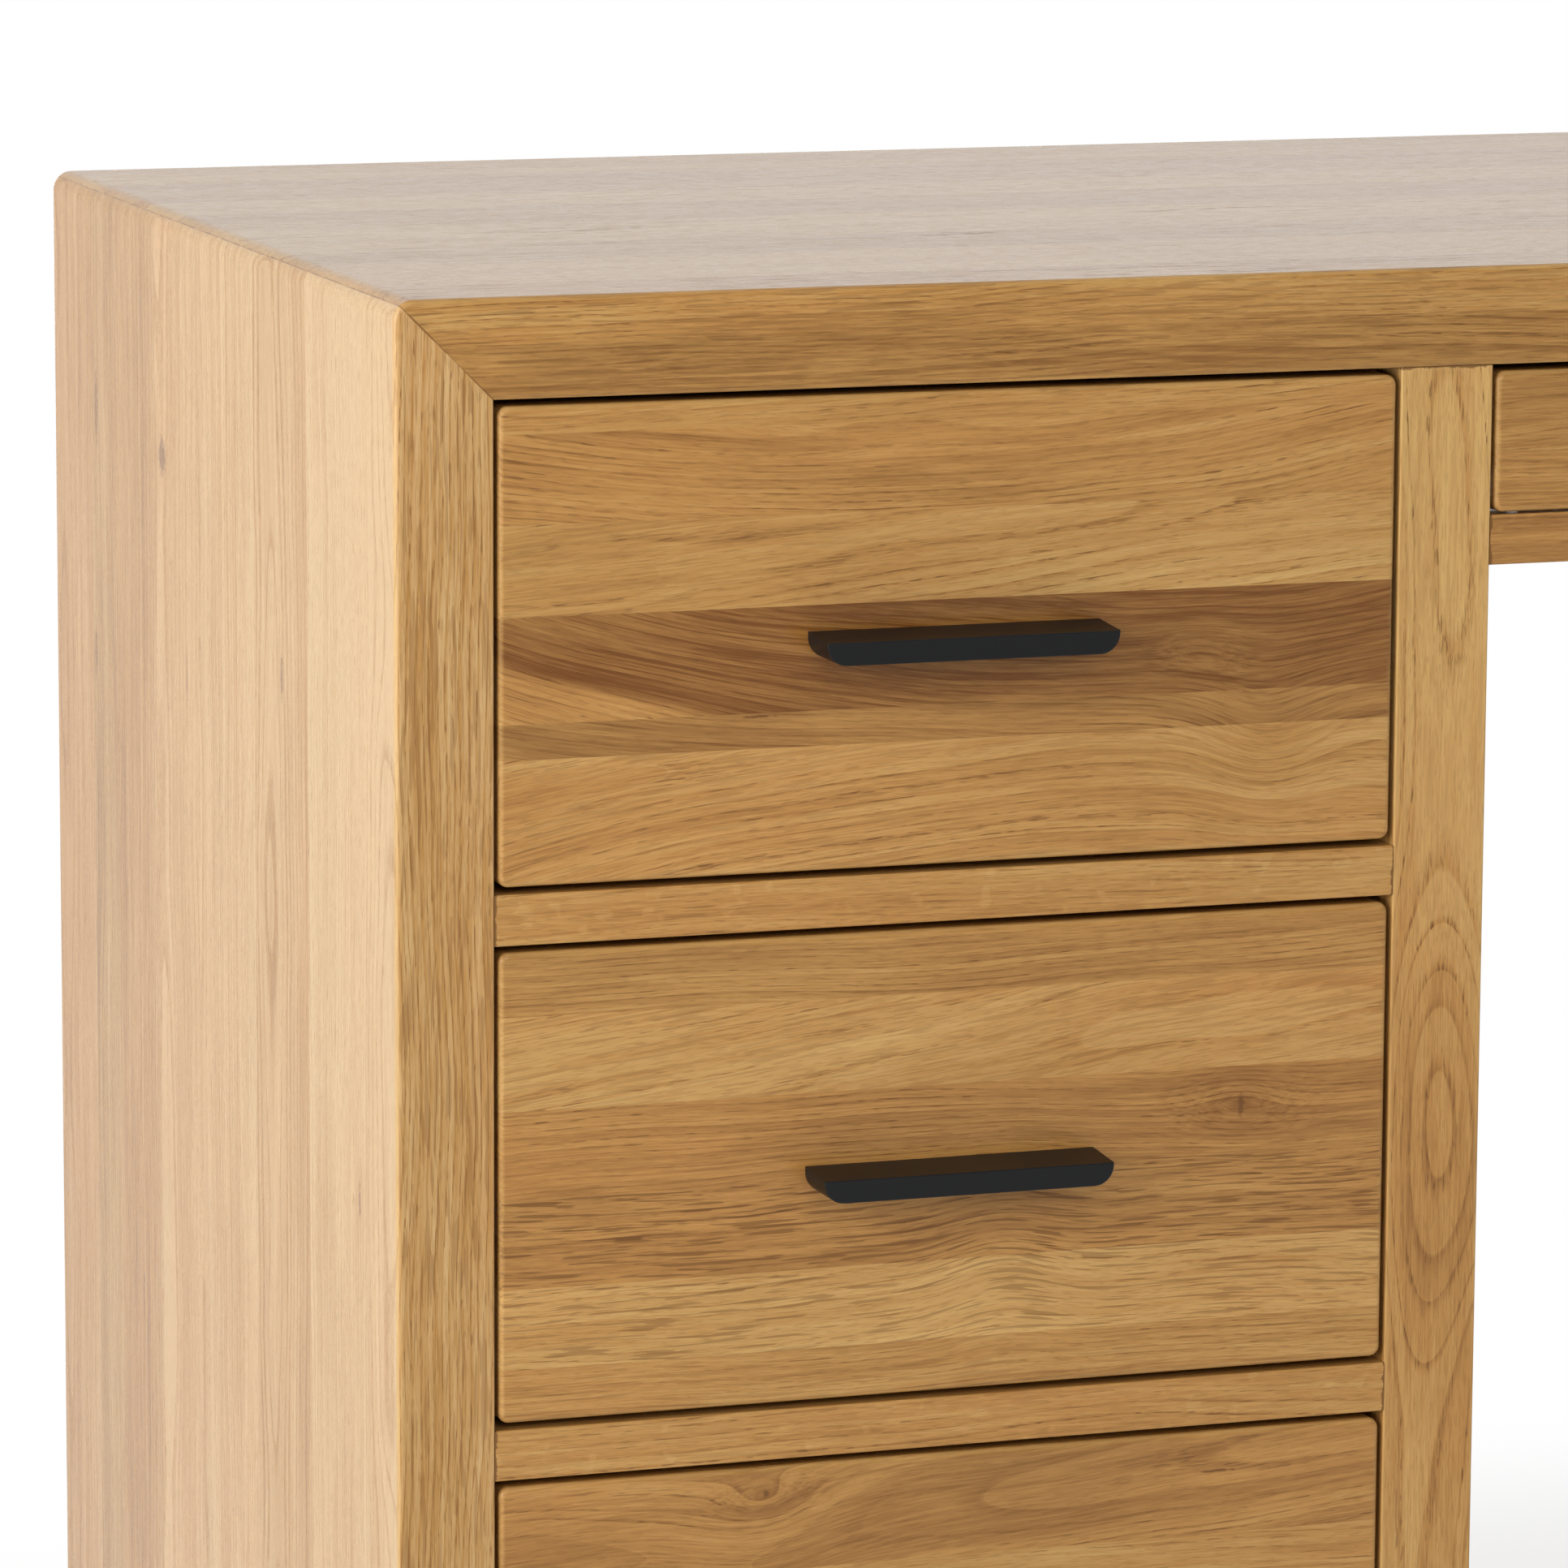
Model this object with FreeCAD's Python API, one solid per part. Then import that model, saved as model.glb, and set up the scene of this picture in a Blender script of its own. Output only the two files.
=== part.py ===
"""Oak pedestal desk: a mitred top on two end panels, two pedestals of three drawers and a centre drawer.

Sizes are in millimetres. +Z is up and the drawers open towards -Y. The origin is on the floor, under the
middle of the desk with its handles.
"""
import FreeCAD
import Part
import os
from collections import namedtuple
from FreeCAD import Vector

# Overall sizes
DESK_WIDTH = 1600.0
DESK_DEPTH = 600.0
DESK_HEIGHT = 770.0

# Carcass boards
BOARD = 43.0
CORNER_ROUND = 9.0
OUTER_ARRIS = 2.5
INNER_ARRIS = 0.8
PEDESTAL_OPENING = 410.0
CENTRE_OPENING_HEIGHT = 66.0
RAIL_HEIGHT = 22.0
RAIL_DEPTH = 60.0
BOTTOM_RAIL_HEIGHT = 43.0
BOTTOM_RAIL_LIFT = 6.0
APRON_HEIGHT = 110.0
APRON_THICK = 20.0
BACK_PANEL_THICK = 9.0
REBATE_WIDTH = 10.0
FLOOR_THICK = 12.0
FLOOR_GROOVE_DEPTH = 8.0
GLIDE_HEIGHT = 4.0
GLIDE_DIAMETER = 30.0
GLIDE_CHAMFER = 1.0
GLIDE_PIN_DIAMETER = 4.0
GLIDE_PIN_LENGTH = 18.0
GLIDE_INSET = 60.0

# Drawers
PEDESTAL_DRAWERS = ("upper", "middle", "lower")
FRONT_THICK = 20.0
FRONT_SIDE_GAP = 2.0
FRONT_EDGE_GAP = 3.0
CENTRE_FRONT_GAP_BELOW = 1.0
FRONT_CORNER = 4.5
FRONT_ARRIS = 2.5
PEDESTAL_BOX_LIFT = 14.0
PEDESTAL_BOX_HEADROOM = 36.0
CENTRE_BOX_LIFT = 7.0
CENTRE_BOX_HEADROOM = 6.0
BOX_REAR_ROOM = 10.0
BOX_ARRIS = 2.0
SIDE_THICK = 12.0
BOX_BACK_THICK = 12.0
BOTTOM_THICK = 6.0
BOTTOM_GROOVE_DEPTH = 6.0
BOTTOM_GROOVE_LIFT = 8.0
KEY_DEPTH = 8.0
KEY_NECK = 6.0
KEY_TIP = 9.0
TAIL_PITCH = 36.0
TAIL_FLARE = 2.0
PIN_WIDTH = 8.0

# Handles
HANDLE_LENGTH = 132.0
HANDLE_REACH = 26.0
HANDLE_HEIGHT = 10.0
HANDLE_FALL = 1.5
HANDLE_CORNER = 9.0
HANDLE_ARRIS = 0.5
HANDLE_LIP = 4.0
HANDLE_ROOF = 3.0
HANDLE_END = 10.0
HANDLE_BOSS_DIAMETER = 8.0
HANDLE_BOSS_LENGTH = 14.0
HANDLE_SCREW_SPACING = 96.0

# Ball-bearing runners: each has a member on the carcass, one between and one on the drawer
RUNNER_THICK = 12.7
RUNNER_HEIGHT = 35.0
RUNNER_STEEL = 1.2
RUNNER_BEND = 2.0
RUNNER_PLAY = 0.4
RUNNER_WEB_STEP = 3.4
RUNNER_LIP_GAP = 1.2
RUNNER_SETBACK = 5.0
RUNNER_SCREW_INSET = 40.0

# Fasteners and fits
FIT = 0.1
DOWEL_DIAMETER = 8.0
DOWEL_LENGTH = 36.0
DOWEL_INSET = 15.0
SCREW_HEAD_CHAMFER = 0.6
MITRE_DOWELS = 6
MITRE_DOWEL_SHIFT = 5.0
MITRE_DOWEL_INSET = 50.0
PANEL_DOWELS = 4
BACK_SCREWS_PER_EDGE = 4
BACK_SCREW_INSET = 60.0
BOTTOM_SCREWS = 3
BOTTOM_SCREW_INSET = 60.0

Screw = namedtuple("Screw", "shank head head_height length countersunk")
RUNNER_SCREW = Screw(3.5, 7.0, 1.8, 11.0, False)
HANDLE_SCREW = Screw(4.0, 8.0, 2.5, 30.0, False)
BACK_SCREW = Screw(3.5, 7.0, 2.0, 28.0, True)
BOTTOM_SCREW = Screw(3.0, 6.0, 1.5, 20.0, False)

# Places worked out from the sizes
HALF_WIDTH = DESK_WIDTH / 2
FRONT = (HANDLE_REACH - DESK_DEPTH) / 2
BACK = FRONT + DESK_DEPTH
FEET = GLIDE_HEIGHT
UNDER_TOP = DESK_HEIGHT - BOARD
BOTTOM_RAIL_LOW = FEET + BOTTOM_RAIL_LIFT
BOTTOM_RAIL_TOP = BOTTOM_RAIL_LOW + BOTTOM_RAIL_HEIGHT
DRAWER_COUNT = len(PEDESTAL_DRAWERS)
PEDESTAL_CLEAR = UNDER_TOP - BOTTOM_RAIL_TOP - (DRAWER_COUNT - 1) * RAIL_HEIGHT
PEDESTAL_OPENING_HEIGHT = PEDESTAL_CLEAR / DRAWER_COUNT
PEDESTAL_OUTER = HALF_WIDTH - BOARD
PEDESTAL_INNER = PEDESTAL_OUTER - PEDESTAL_OPENING
KNEEHOLE_HALF = PEDESTAL_INNER - BOARD
CENTRE_RAIL_TOP = UNDER_TOP - CENTRE_OPENING_HEIGHT
FRONT_BACK = FRONT + FRONT_THICK
BOX_LENGTH = DESK_DEPTH - FRONT_THICK - APRON_THICK - BOX_REAR_ROOM
BOX_REAR = FRONT_BACK + BOX_LENGTH
RUNNER_FRONT = FRONT_BACK + RUNNER_SETBACK
RUNNER_LENGTH = BOX_LENGTH - 2 * RUNNER_SETBACK
RUNNER_REAR = RUNNER_FRONT + RUNNER_LENGTH
PAST = 2.0

LEFT_TO_RIGHT = Vector(1, 0, 0)
FRONT_TO_BACK = Vector(0, 1, 0)
UPWARDS = Vector(0, 0, 1)

Opening = namedtuple("Opening", "name left right low high gap_below lift headroom")

pieces = {}
fixings = {}
cuts = {}


def add(node, *shapes):
    """Puts solids in a node."""
    pieces.setdefault(node, []).extend(shapes)


def fix(node, shape):
    """Puts a dowel, screw or glide in a node. Nothing is cut from it."""
    fixings.setdefault(node, []).append(shape)


def cut(node, *tools):
    """Notes what is cut from a node's solids when it is saved."""
    cuts.setdefault(node, []).extend(tools)


def block(x_range, y_range, z_range):
    """A box between two values along each axis."""
    low, high = zip(x_range, y_range, z_range)
    size = Vector(*high) - Vector(*low)
    return Part.makeBox(size.x, size.y, size.z, Vector(*low))


def prism(points, sweep):
    """A straight bar: a flat outline swept along a vector."""
    outline = Part.makePolygon(points + points[:1])
    return Part.Face(outline).extrude(sweep)


def bore(diameter, start, axis, length):
    """A round tool along an axis."""
    return Part.makeCylinder(diameter / 2, length, start, axis)


def turned(profile, start, axis):
    """A turned solid from radius and height pairs, set at start along an axis."""
    outline = [Vector(radius, 0, height) for radius, height in profile]
    face = Part.Face(Part.makePolygon(outline + outline[:1]))
    solid = face.revolve(Vector(), UPWARDS, 360)
    solid.Placement = FreeCAD.Placement(start, FreeCAD.Rotation(UPWARDS, axis))
    return solid


def spread(start, stop, count):
    """Evenly spaced places from start to stop."""
    step = (stop - start) / (count - 1)
    return [start + step * index for index in range(count)]


def edges_where(shape, test):
    """The shape's edges whose middle point passes a test."""
    return [edge for edge in shape.Edges if test(edge.CenterOfMass, edge.BoundBox)]


def dowel(middle, axis, *boards):
    """A glued dowel across a joint, with its blind hole in the boards that it joins."""
    half = axis * (DOWEL_LENGTH / 2)
    fix("wood_dowels", bore(DOWEL_DIAMETER, middle - half, axis, DOWEL_LENGTH))
    slack = half + axis * FIT
    hole = bore(DOWEL_DIAMETER + 2 * FIT, middle - slack, axis, DOWEL_LENGTH + 2 * FIT)
    for board in boards:
        cut(board, hole)


def screw(size, seat, axis, node, *boards):
    """A screw whose head stands on seat, or is sunk in it, driven along axis, with its hole in the boards."""
    shank = size.shank / 2
    head = size.head / 2
    if size.countersunk:
        rim, under, tip = 0.0, size.head_height, size.length
        profile = [(0, rim), (head, rim), (shank, under), (shank, tip), (0, tip)]
        sink = [(0, rim), (head + FIT, rim), (shank + FIT, under + FIT),
                (shank + FIT, tip + FIT), (0, tip + FIT)]
    else:
        rim, under, tip = -size.head_height, 0.0, size.length
        crown = rim + SCREW_HEAD_CHAMFER
        face = head - SCREW_HEAD_CHAMFER
        profile = [(0, rim), (face, rim), (head, crown), (head, under),
                   (shank, under), (shank, tip), (0, tip)]
        sink = [(0, rim), (shank + FIT, rim), (shank + FIT, tip + FIT), (0, tip + FIT)]
    fix(node, turned(profile, seat, axis))
    for board in boards:
        cut(board, turned(sink, seat, axis))


def arch():
    """Desktop and end panels in one piece, with round corners and their outer arrises eased."""
    shape = block((-HALF_WIDTH, HALF_WIDTH), (FRONT, BACK), (FEET, DESK_HEIGHT))
    corners = edges_where(shape, lambda middle, box: box.YLength > BOARD and middle.z > UNDER_TOP)
    shape = shape.makeFillet(CORNER_ROUND, corners)
    outline = edges_where(shape, lambda middle, box: box.YLength < FIT and middle.z > FEET + FIT)
    shape = shape.makeFillet(OUTER_ARRIS, outline)
    inside = block((-PEDESTAL_OUTER, PEDESTAL_OUTER), (FRONT - PAST, BACK + PAST), (FEET - PAST, UNDER_TOP))
    shape = shape.cut(inside).Solids[0]

    def inner_front(middle, box):
        around = abs(middle.z - UNDER_TOP) < FIT or abs(abs(middle.x) - PEDESTAL_OUTER) < FIT
        return around and box.YMax < FRONT + FIT and middle.z > FEET + FIT

    return shape.makeFillet(INNER_ARRIS, edges_where(shape, inner_front))


def mitre_tool(side):
    """Everything on the end panel's side of a mitre."""
    outer = (HALF_WIDTH + BOARD, DESK_HEIGHT + BOARD)
    inner = (PEDESTAL_OUTER - BOARD, UNDER_TOP - BOARD)
    foot = FEET - PAST
    corners = [outer, inner, (inner[0], foot), (outer[0], foot)]
    points = [Vector(side * x, FRONT - PAST, z) for x, z in corners]
    return prism(points, FRONT_TO_BACK * (DESK_DEPTH + 2 * PAST))


def desktop_and_end_panels():
    """The mitred arch, parted at its two mitres and dowelled across them."""
    whole = arch()
    left = mitre_tool(-1)
    right = mitre_tool(1)
    add("desktop", whole.cut([left, right]).Solids[0])
    add("left_end_panel", whole.common(left).Solids[0])
    add("right_end_panel", whole.common(right).Solids[0])
    for side, panel in ((-1, "left_end_panel"), (1, "right_end_panel")):
        along = Vector(-side, 0, -1).normalize()
        across = Vector(side, 0, -1).normalize()
        for y in spread(FRONT + MITRE_DOWEL_INSET, BACK - MITRE_DOWEL_INSET, MITRE_DOWELS):
            middle = Vector(side * (HALF_WIDTH - BOARD / 2), y, DESK_HEIGHT - BOARD / 2)
            dowel(middle + along * MITRE_DOWEL_SHIFT, across, "desktop", panel)


def inner_panels():
    """The panels between pedestals and kneehole, butted under the desktop."""
    for side, name in ((-1, "left_inner_panel"), (1, "right_inner_panel")):
        x_range = sorted((side * KNEEHOLE_HALF, side * PEDESTAL_INNER))
        panel = block(x_range, (FRONT, BACK), (FEET, UNDER_TOP))
        upright = edges_where(panel, lambda middle, box: box.YMax < FRONT + FIT and box.ZLength > BOARD)
        add(name, panel.makeFillet(INNER_ARRIS, upright))
        for y in spread(FRONT + MITRE_DOWEL_INSET, BACK - MITRE_DOWEL_INSET, PANEL_DOWELS):
            dowel(Vector(side * (KNEEHOLE_HALF + BOARD / 2), y, UNDER_TOP), UPWARDS, "desktop", name)


def rail(node, x_range, low, high, boards):
    """A front rail between two boards, with two dowels at each end."""
    y_range = (FRONT, FRONT + RAIL_DEPTH)
    bar = block(x_range, y_range, (low, high))
    long_edges = edges_where(bar, lambda middle, box: box.YMax < FRONT + FIT and box.ZLength < FIT)
    add(node, bar.makeFillet(INNER_ARRIS, long_edges))
    for x, board in zip(x_range, boards):
        for y in (y_range[0] + DOWEL_INSET, y_range[1] - DOWEL_INSET):
            dowel(Vector(x, y, (low + high) / 2), LEFT_TO_RIGHT, node, board)


def pedestal_range(side):
    """The clear width of a pedestal, as lowest and highest x."""
    return tuple(sorted((side * PEDESTAL_INNER, side * PEDESTAL_OUTER)))


def pedestal_boards(side, hand):
    """The names of the boards at a pedestal's left and right."""
    boards = (hand + "_end_panel", hand + "_inner_panel")
    return boards if side < 0 else boards[::-1]


def pedestal_openings(side, hand):
    """The drawer openings of a pedestal, from the top down."""
    left, right = pedestal_range(side)
    openings = []
    for index, level in enumerate(PEDESTAL_DRAWERS):
        high = UNDER_TOP - index * (PEDESTAL_OPENING_HEIGHT + RAIL_HEIGHT)
        low = high - PEDESTAL_OPENING_HEIGHT
        name = hand + "_" + level + "_drawer"
        openings.append(Opening(name, left, right, low, high, FRONT_EDGE_GAP, PEDESTAL_BOX_LIFT,
                                PEDESTAL_BOX_HEADROOM))
    return openings


def pedestal(side, hand):
    """A pedestal's rails, floor and back between its two panels."""
    x_range = pedestal_range(side)
    boards = pedestal_boards(side, hand)
    for opening in pedestal_openings(side, hand)[:-1]:
        rail(hand + "_drawer_rails", x_range, opening.low - RAIL_HEIGHT, opening.low, boards)
    rail(hand + "_bottom_rail", x_range, BOTTOM_RAIL_LOW, BOTTOM_RAIL_TOP, boards)

    floor_x = (x_range[0] - FLOOR_GROOVE_DEPTH, x_range[1] + FLOOR_GROOVE_DEPTH)
    floor_y = (FRONT + RAIL_DEPTH, BACK - BACK_PANEL_THICK)
    floor_z = (BOTTOM_RAIL_TOP - FLOOR_THICK, BOTTOM_RAIL_TOP)
    add("pedestal_floors", block((floor_x[0] + FIT, floor_x[1] - FIT), floor_y, floor_z))
    groove = block(floor_x, floor_y, floor_z)

    back_x = (x_range[0] - REBATE_WIDTH, x_range[1] + REBATE_WIDTH)
    back_z = (BOTTOM_RAIL_LOW, UNDER_TOP)
    back = hand + "_back_panel"
    back_y = (BACK - BACK_PANEL_THICK, BACK)
    add(back, block((back_x[0] + FIT, back_x[1] - FIT), back_y, back_z))
    rebate = block(back_x, (back_y[0], BACK + PAST), (FEET - PAST, UNDER_TOP))
    for x, board in zip(x_range, boards):
        cut(board, groove, rebate)
        outwards = -1 if x == x_range[0] else 1
        for z in spread(back_z[0] + BACK_SCREW_INSET, back_z[1] - BACK_SCREW_INSET, BACK_SCREWS_PER_EDGE):
            seat = Vector(x + outwards * REBATE_WIDTH / 2, BACK, z)
            screw(BACK_SCREW, seat, -FRONT_TO_BACK, "carcass_screws", back, board)


def kneehole():
    """The rail under the centre drawer and the apron behind it."""
    x_range = (-KNEEHOLE_HALF, KNEEHOLE_HALF)
    boards = ("left_inner_panel", "right_inner_panel")
    rail("centre_rail", x_range, CENTRE_RAIL_TOP - RAIL_HEIGHT, CENTRE_RAIL_TOP, boards)
    apron_low = UNDER_TOP - APRON_HEIGHT
    add("back_apron", block(x_range, (BACK - APRON_THICK, BACK), (apron_low, UNDER_TOP)))
    for x, board in zip(x_range, boards):
        for z in (apron_low + DOWEL_INSET, UNDER_TOP - DOWEL_INSET):
            dowel(Vector(x, BACK - APRON_THICK / 2, z), LEFT_TO_RIGHT, "back_apron", board)


def floor_glides():
    """Round glides with a pin, under both ends of each panel."""
    rim = GLIDE_DIAMETER / 2
    pin = GLIDE_PIN_DIAMETER / 2
    tip = GLIDE_HEIGHT + GLIDE_PIN_LENGTH
    foot = rim - GLIDE_CHAMFER
    profile = [(0, 0), (foot, 0), (rim, GLIDE_CHAMFER), (rim, GLIDE_HEIGHT),
               (pin, GLIDE_HEIGHT), (pin, tip), (0, tip)]
    for side, hand in ((-1, "left"), (1, "right")):
        places = ((HALF_WIDTH - BOARD / 2, "_end_panel"), (KNEEHOLE_HALF + BOARD / 2, "_inner_panel"))
        for x, panel in places:
            for y in (FRONT + GLIDE_INSET, BACK - GLIDE_INSET):
                fix("floor_glides", turned(profile, Vector(side * x, y, 0), UPWARDS))
                seat = Vector(side * x, y, FEET)
                hole = bore(GLIDE_PIN_DIAMETER + 2 * FIT, seat, UPWARDS, GLIDE_PIN_LENGTH + FIT)
                cut(hand + panel, hole)


def box_ranges(opening):
    """The outside of a drawer's box, across and upwards."""
    x_range = (opening.left + RUNNER_THICK, opening.right - RUNNER_THICK)
    z_range = (opening.low + opening.lift, opening.high - opening.headroom)
    return x_range, z_range


def front_ranges(opening):
    """The outside of a drawer's front, across and upwards."""
    x_range = (opening.left + FRONT_SIDE_GAP, opening.right - FRONT_SIDE_GAP)
    z_range = (opening.low + opening.gap_below, opening.high - FRONT_EDGE_GAP)
    return x_range, z_range


def key(side_x, z_range, slack):
    """The dovetail key on the front end of a drawer side; with slack it is the socket in the front."""
    middle = side_x + SIDE_THICK / 2
    neck = KEY_NECK / 2 + slack
    tip = KEY_TIP / 2 + slack
    far = FRONT_BACK - KEY_DEPTH - slack
    corners = [(-neck, FRONT_BACK), (neck, FRONT_BACK), (tip, far), (-tip, far)]
    points = [Vector(middle + x, y, z_range[0]) for x, y in corners]
    return prism(points, UPWARDS * (z_range[1] - z_range[0]))


def tail_corners(low, high, slack):
    """The corners of each dovetail, in depth and height, spaced over the height of the box's back."""
    count = max(1, round((high - low) / TAIL_PITCH))
    pitch = (high - low) / count
    wide = (pitch - PIN_WIDTH) / 2 + slack
    narrow = wide - TAIL_FLARE
    shoulder = BOX_REAR - BOX_BACK_THICK
    tails = []
    for index in range(count):
        middle = low + pitch * (index + 0.5)
        base = [(shoulder, middle - narrow), (shoulder, middle + narrow)]
        end = [(BOX_REAR, middle - wide), (BOX_REAR, middle + wide)]
        tails.append([base[0], end[0], end[1], base[1]])
    return tails


def along_top(middle, box, top):
    """Whether an edge runs along a board's top."""
    return middle.z > top - FIT and max(box.XLength, box.YLength) > SIDE_THICK + FIT


def drawer_box(opening):
    """The box: two sides keyed into the front, a back dovetailed between them, and a bottom in grooves."""
    x_range, z_range = box_ranges(opening)
    low, high = z_range
    bottom_low = low + BOTTOM_GROOVE_LIFT
    back_low = bottom_low + BOTTOM_THICK
    shoulder = BOX_REAR - BOX_BACK_THICK
    node = opening.name + "_box"

    outline = [(FRONT_BACK, low), (BOX_REAR, low), (BOX_REAR, back_low - FIT), (shoulder, back_low - FIT)]
    for tail in tail_corners(back_low, high, 0.0):
        outline.extend(tail)
    outline.extend([(shoulder, high), (FRONT_BACK, high)])

    groove_x = (x_range[0] + SIDE_THICK - BOTTOM_GROOVE_DEPTH, x_range[1] - SIDE_THICK + BOTTOM_GROOVE_DEPTH)
    groove_y = (FRONT_BACK - BOTTOM_GROOVE_DEPTH, BOX_REAR)
    groove = block(groove_x, (groove_y[0], BOX_REAR + PAST), (bottom_low, back_low + FIT))
    cut(opening.name + "_front", groove)

    sockets = []
    for side_x in (x_range[0], x_range[1] - SIDE_THICK):
        plank = prism([Vector(side_x, y, z) for y, z in outline], LEFT_TO_RIGHT * SIDE_THICK)
        upper = edges_where(plank, lambda middle, box: along_top(middle, box, high))
        plank = plank.makeFillet(BOX_ARRIS, upper)
        side = plank.fuse(key(side_x, (low, high), 0.0)).removeSplitter()
        add(node, side.cut(groove).Solids[0])
        front_low = front_ranges(opening)[1][0]
        cut(opening.name + "_front", key(side_x, (front_low - PAST, high + FIT), FIT))
        for tail in tail_corners(back_low, high, FIT):
            points = [Vector(side_x - FIT, y, z) for y, z in tail]
            sockets.append(prism(points, LEFT_TO_RIGHT * (SIDE_THICK + 2 * FIT)))
    back = block(x_range, (shoulder, BOX_REAR), (back_low, high))
    back = back.makeFillet(BOX_ARRIS, edges_where(back, lambda middle, box: along_top(middle, box, high)))
    add(node, back.cut(sockets).Solids[0])

    bottom = opening.name + "_bottom"
    bottom_x = (groove_x[0] + FIT, groove_x[1] - FIT)
    add(bottom, block(bottom_x, (groove_y[0] + FIT, BOX_REAR), (bottom_low, back_low)))
    ends = (x_range[0] + BOTTOM_SCREW_INSET, x_range[1] - BOTTOM_SCREW_INSET)
    for x in spread(*ends, BOTTOM_SCREWS):
        seat = Vector(x, BOX_REAR - BOX_BACK_THICK / 2, bottom_low)
        screw(BOTTOM_SCREW, seat, UPWARDS, opening.name + "_runners", bottom, node)


def drawer_front(opening):
    """The inset front, with rounded corners and eased edges."""
    x_range, z_range = front_ranges(opening)
    shape = block(x_range, (FRONT, FRONT_BACK), z_range)
    corners = edges_where(shape, lambda middle, box: box.YLength > FRONT_THICK / 2)
    shape = shape.makeFillet(FRONT_CORNER, corners)
    rim = edges_where(shape, lambda middle, box: box.YMax < FRONT + FIT)
    add(opening.name + "_front", shape.makeFillet(FRONT_ARRIS, rim))


def handle(opening):
    """A lip handle: its top falls to the front, its lower corners are round and it is open below."""
    x_range, z_range = front_ranges(opening)
    middle = (x_range[0] + x_range[1]) / 2
    top = (z_range[0] + z_range[1]) / 2
    low = top - HANDLE_HEIGHT
    half = HANDLE_LENGTH / 2
    tip = FRONT - HANDLE_REACH
    profile = [(tip, low), (FRONT, low), (FRONT, top + HANDLE_FALL), (tip, top)]
    points = [Vector(middle - half, y, z) for y, z in profile]
    shape = prism(points, LEFT_TO_RIGHT * HANDLE_LENGTH)
    lower = edges_where(shape, lambda point, box: box.YLength > HANDLE_LIP and point.z < top - FIT)
    shape = shape.makeFillet(HANDLE_CORNER, lower)
    rim = edges_where(shape, lambda point, box: box.YMax < tip + FIT)
    shape = shape.makeFillet(HANDLE_ARRIS, rim)
    pocket_half = half - HANDLE_END
    pocket_x = (middle - pocket_half, middle + pocket_half)
    pocket = block(pocket_x, (tip + HANDLE_LIP, FRONT + PAST), (low - PAST, top - HANDLE_ROOF))
    shape = shape.cut(pocket)
    screw_z = low + HANDLE_HEIGHT / 2
    node = opening.name + "_handle"
    for x in (middle - HANDLE_SCREW_SPACING / 2, middle + HANDLE_SCREW_SPACING / 2):
        boss = bore(HANDLE_BOSS_DIAMETER, Vector(x, FRONT - HANDLE_BOSS_LENGTH, screw_z), FRONT_TO_BACK,
                    HANDLE_BOSS_LENGTH)
        shape = shape.fuse(boss)
        seat = Vector(x, FRONT_BACK, screw_z)
        screw(HANDLE_SCREW, seat, -FRONT_TO_BACK, opening.name + "_runners", opening.name + "_front", node)
    add(node, shape.removeSplitter().Solids[0])


def runner_member(wall, facing, z, web, lip, half):
    """A steel channel beside a wall: an upright web, bent into two flanges that reach to a lip."""
    inner = half - RUNNER_STEEL
    inside = web + RUNNER_STEEL if lip > web else web - RUNNER_STEEL
    outline = [(web, -half), (web, half), (lip, half), (lip, inner),
               (inside, inner), (inside, -inner), (lip, -inner), (lip, -half)]
    points = [Vector(wall + facing * across, RUNNER_FRONT, z + up) for across, up in outline]
    bar = prism(points, FRONT_TO_BACK * RUNNER_LENGTH)
    web_x = wall + facing * web

    def at_bend(middle, box):
        return abs(middle.x - web_x) < FIT and box.YLength > RUNNER_HEIGHT

    return bar.makeFillet(RUNNER_BEND, edges_where(bar, at_bend))


def runners(opening, left_board, right_board):
    """The two runners of a drawer, with the screws of their outer and inner members."""
    outer_half = RUNNER_HEIGHT / 2
    between_half = outer_half - RUNNER_STEEL - RUNNER_PLAY
    inner_half = between_half - RUNNER_STEEL - RUNNER_PLAY
    between_lip = RUNNER_THICK - RUNNER_LIP_GAP
    inner_lip = RUNNER_WEB_STEP + RUNNER_STEEL + RUNNER_LIP_GAP
    members = (
        ("cabinet_runners", 0.0, between_lip, outer_half),
        (opening.name + "_intermediate_runners", RUNNER_WEB_STEP, between_lip, between_half),
        (opening.name + "_runners", RUNNER_THICK, inner_lip, inner_half),
    )
    z_range = box_ranges(opening)[1]
    z = (z_range[0] + z_range[1]) / 2
    screw_places = spread(RUNNER_FRONT + RUNNER_SCREW_INSET, RUNNER_REAR - RUNNER_SCREW_INSET, 3)
    for wall, facing, board in ((opening.left, 1, left_board), (opening.right, -1, right_board)):
        for node, web, lip, half in members:
            add(node, runner_member(wall, facing, z, web, lip, half))
        inwards = LEFT_TO_RIGHT * facing
        for y in screw_places:
            cabinet_seat = Vector(wall + facing * RUNNER_STEEL, y, z)
            screw(RUNNER_SCREW, cabinet_seat, -inwards, "carcass_screws", "cabinet_runners", board)
            drawer_seat = Vector(wall + facing * (RUNNER_THICK - RUNNER_STEEL), y, z)
            screw(RUNNER_SCREW, drawer_seat, inwards, opening.name + "_runners",
                  opening.name + "_runners", opening.name + "_box")


def drawer(opening, left_board, right_board):
    """One whole drawer on its runners."""
    drawer_front(opening)
    drawer_box(opening)
    handle(opening)
    runners(opening, left_board, right_board)


def centre_opening():
    """The opening between the inner panels, above the centre rail."""
    return Opening("centre_drawer", -KNEEHOLE_HALF, KNEEHOLE_HALF, CENTRE_RAIL_TOP, UNDER_TOP,
                   CENTRE_FRONT_GAP_BELOW, CENTRE_BOX_LIFT, CENTRE_BOX_HEADROOM)


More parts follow.
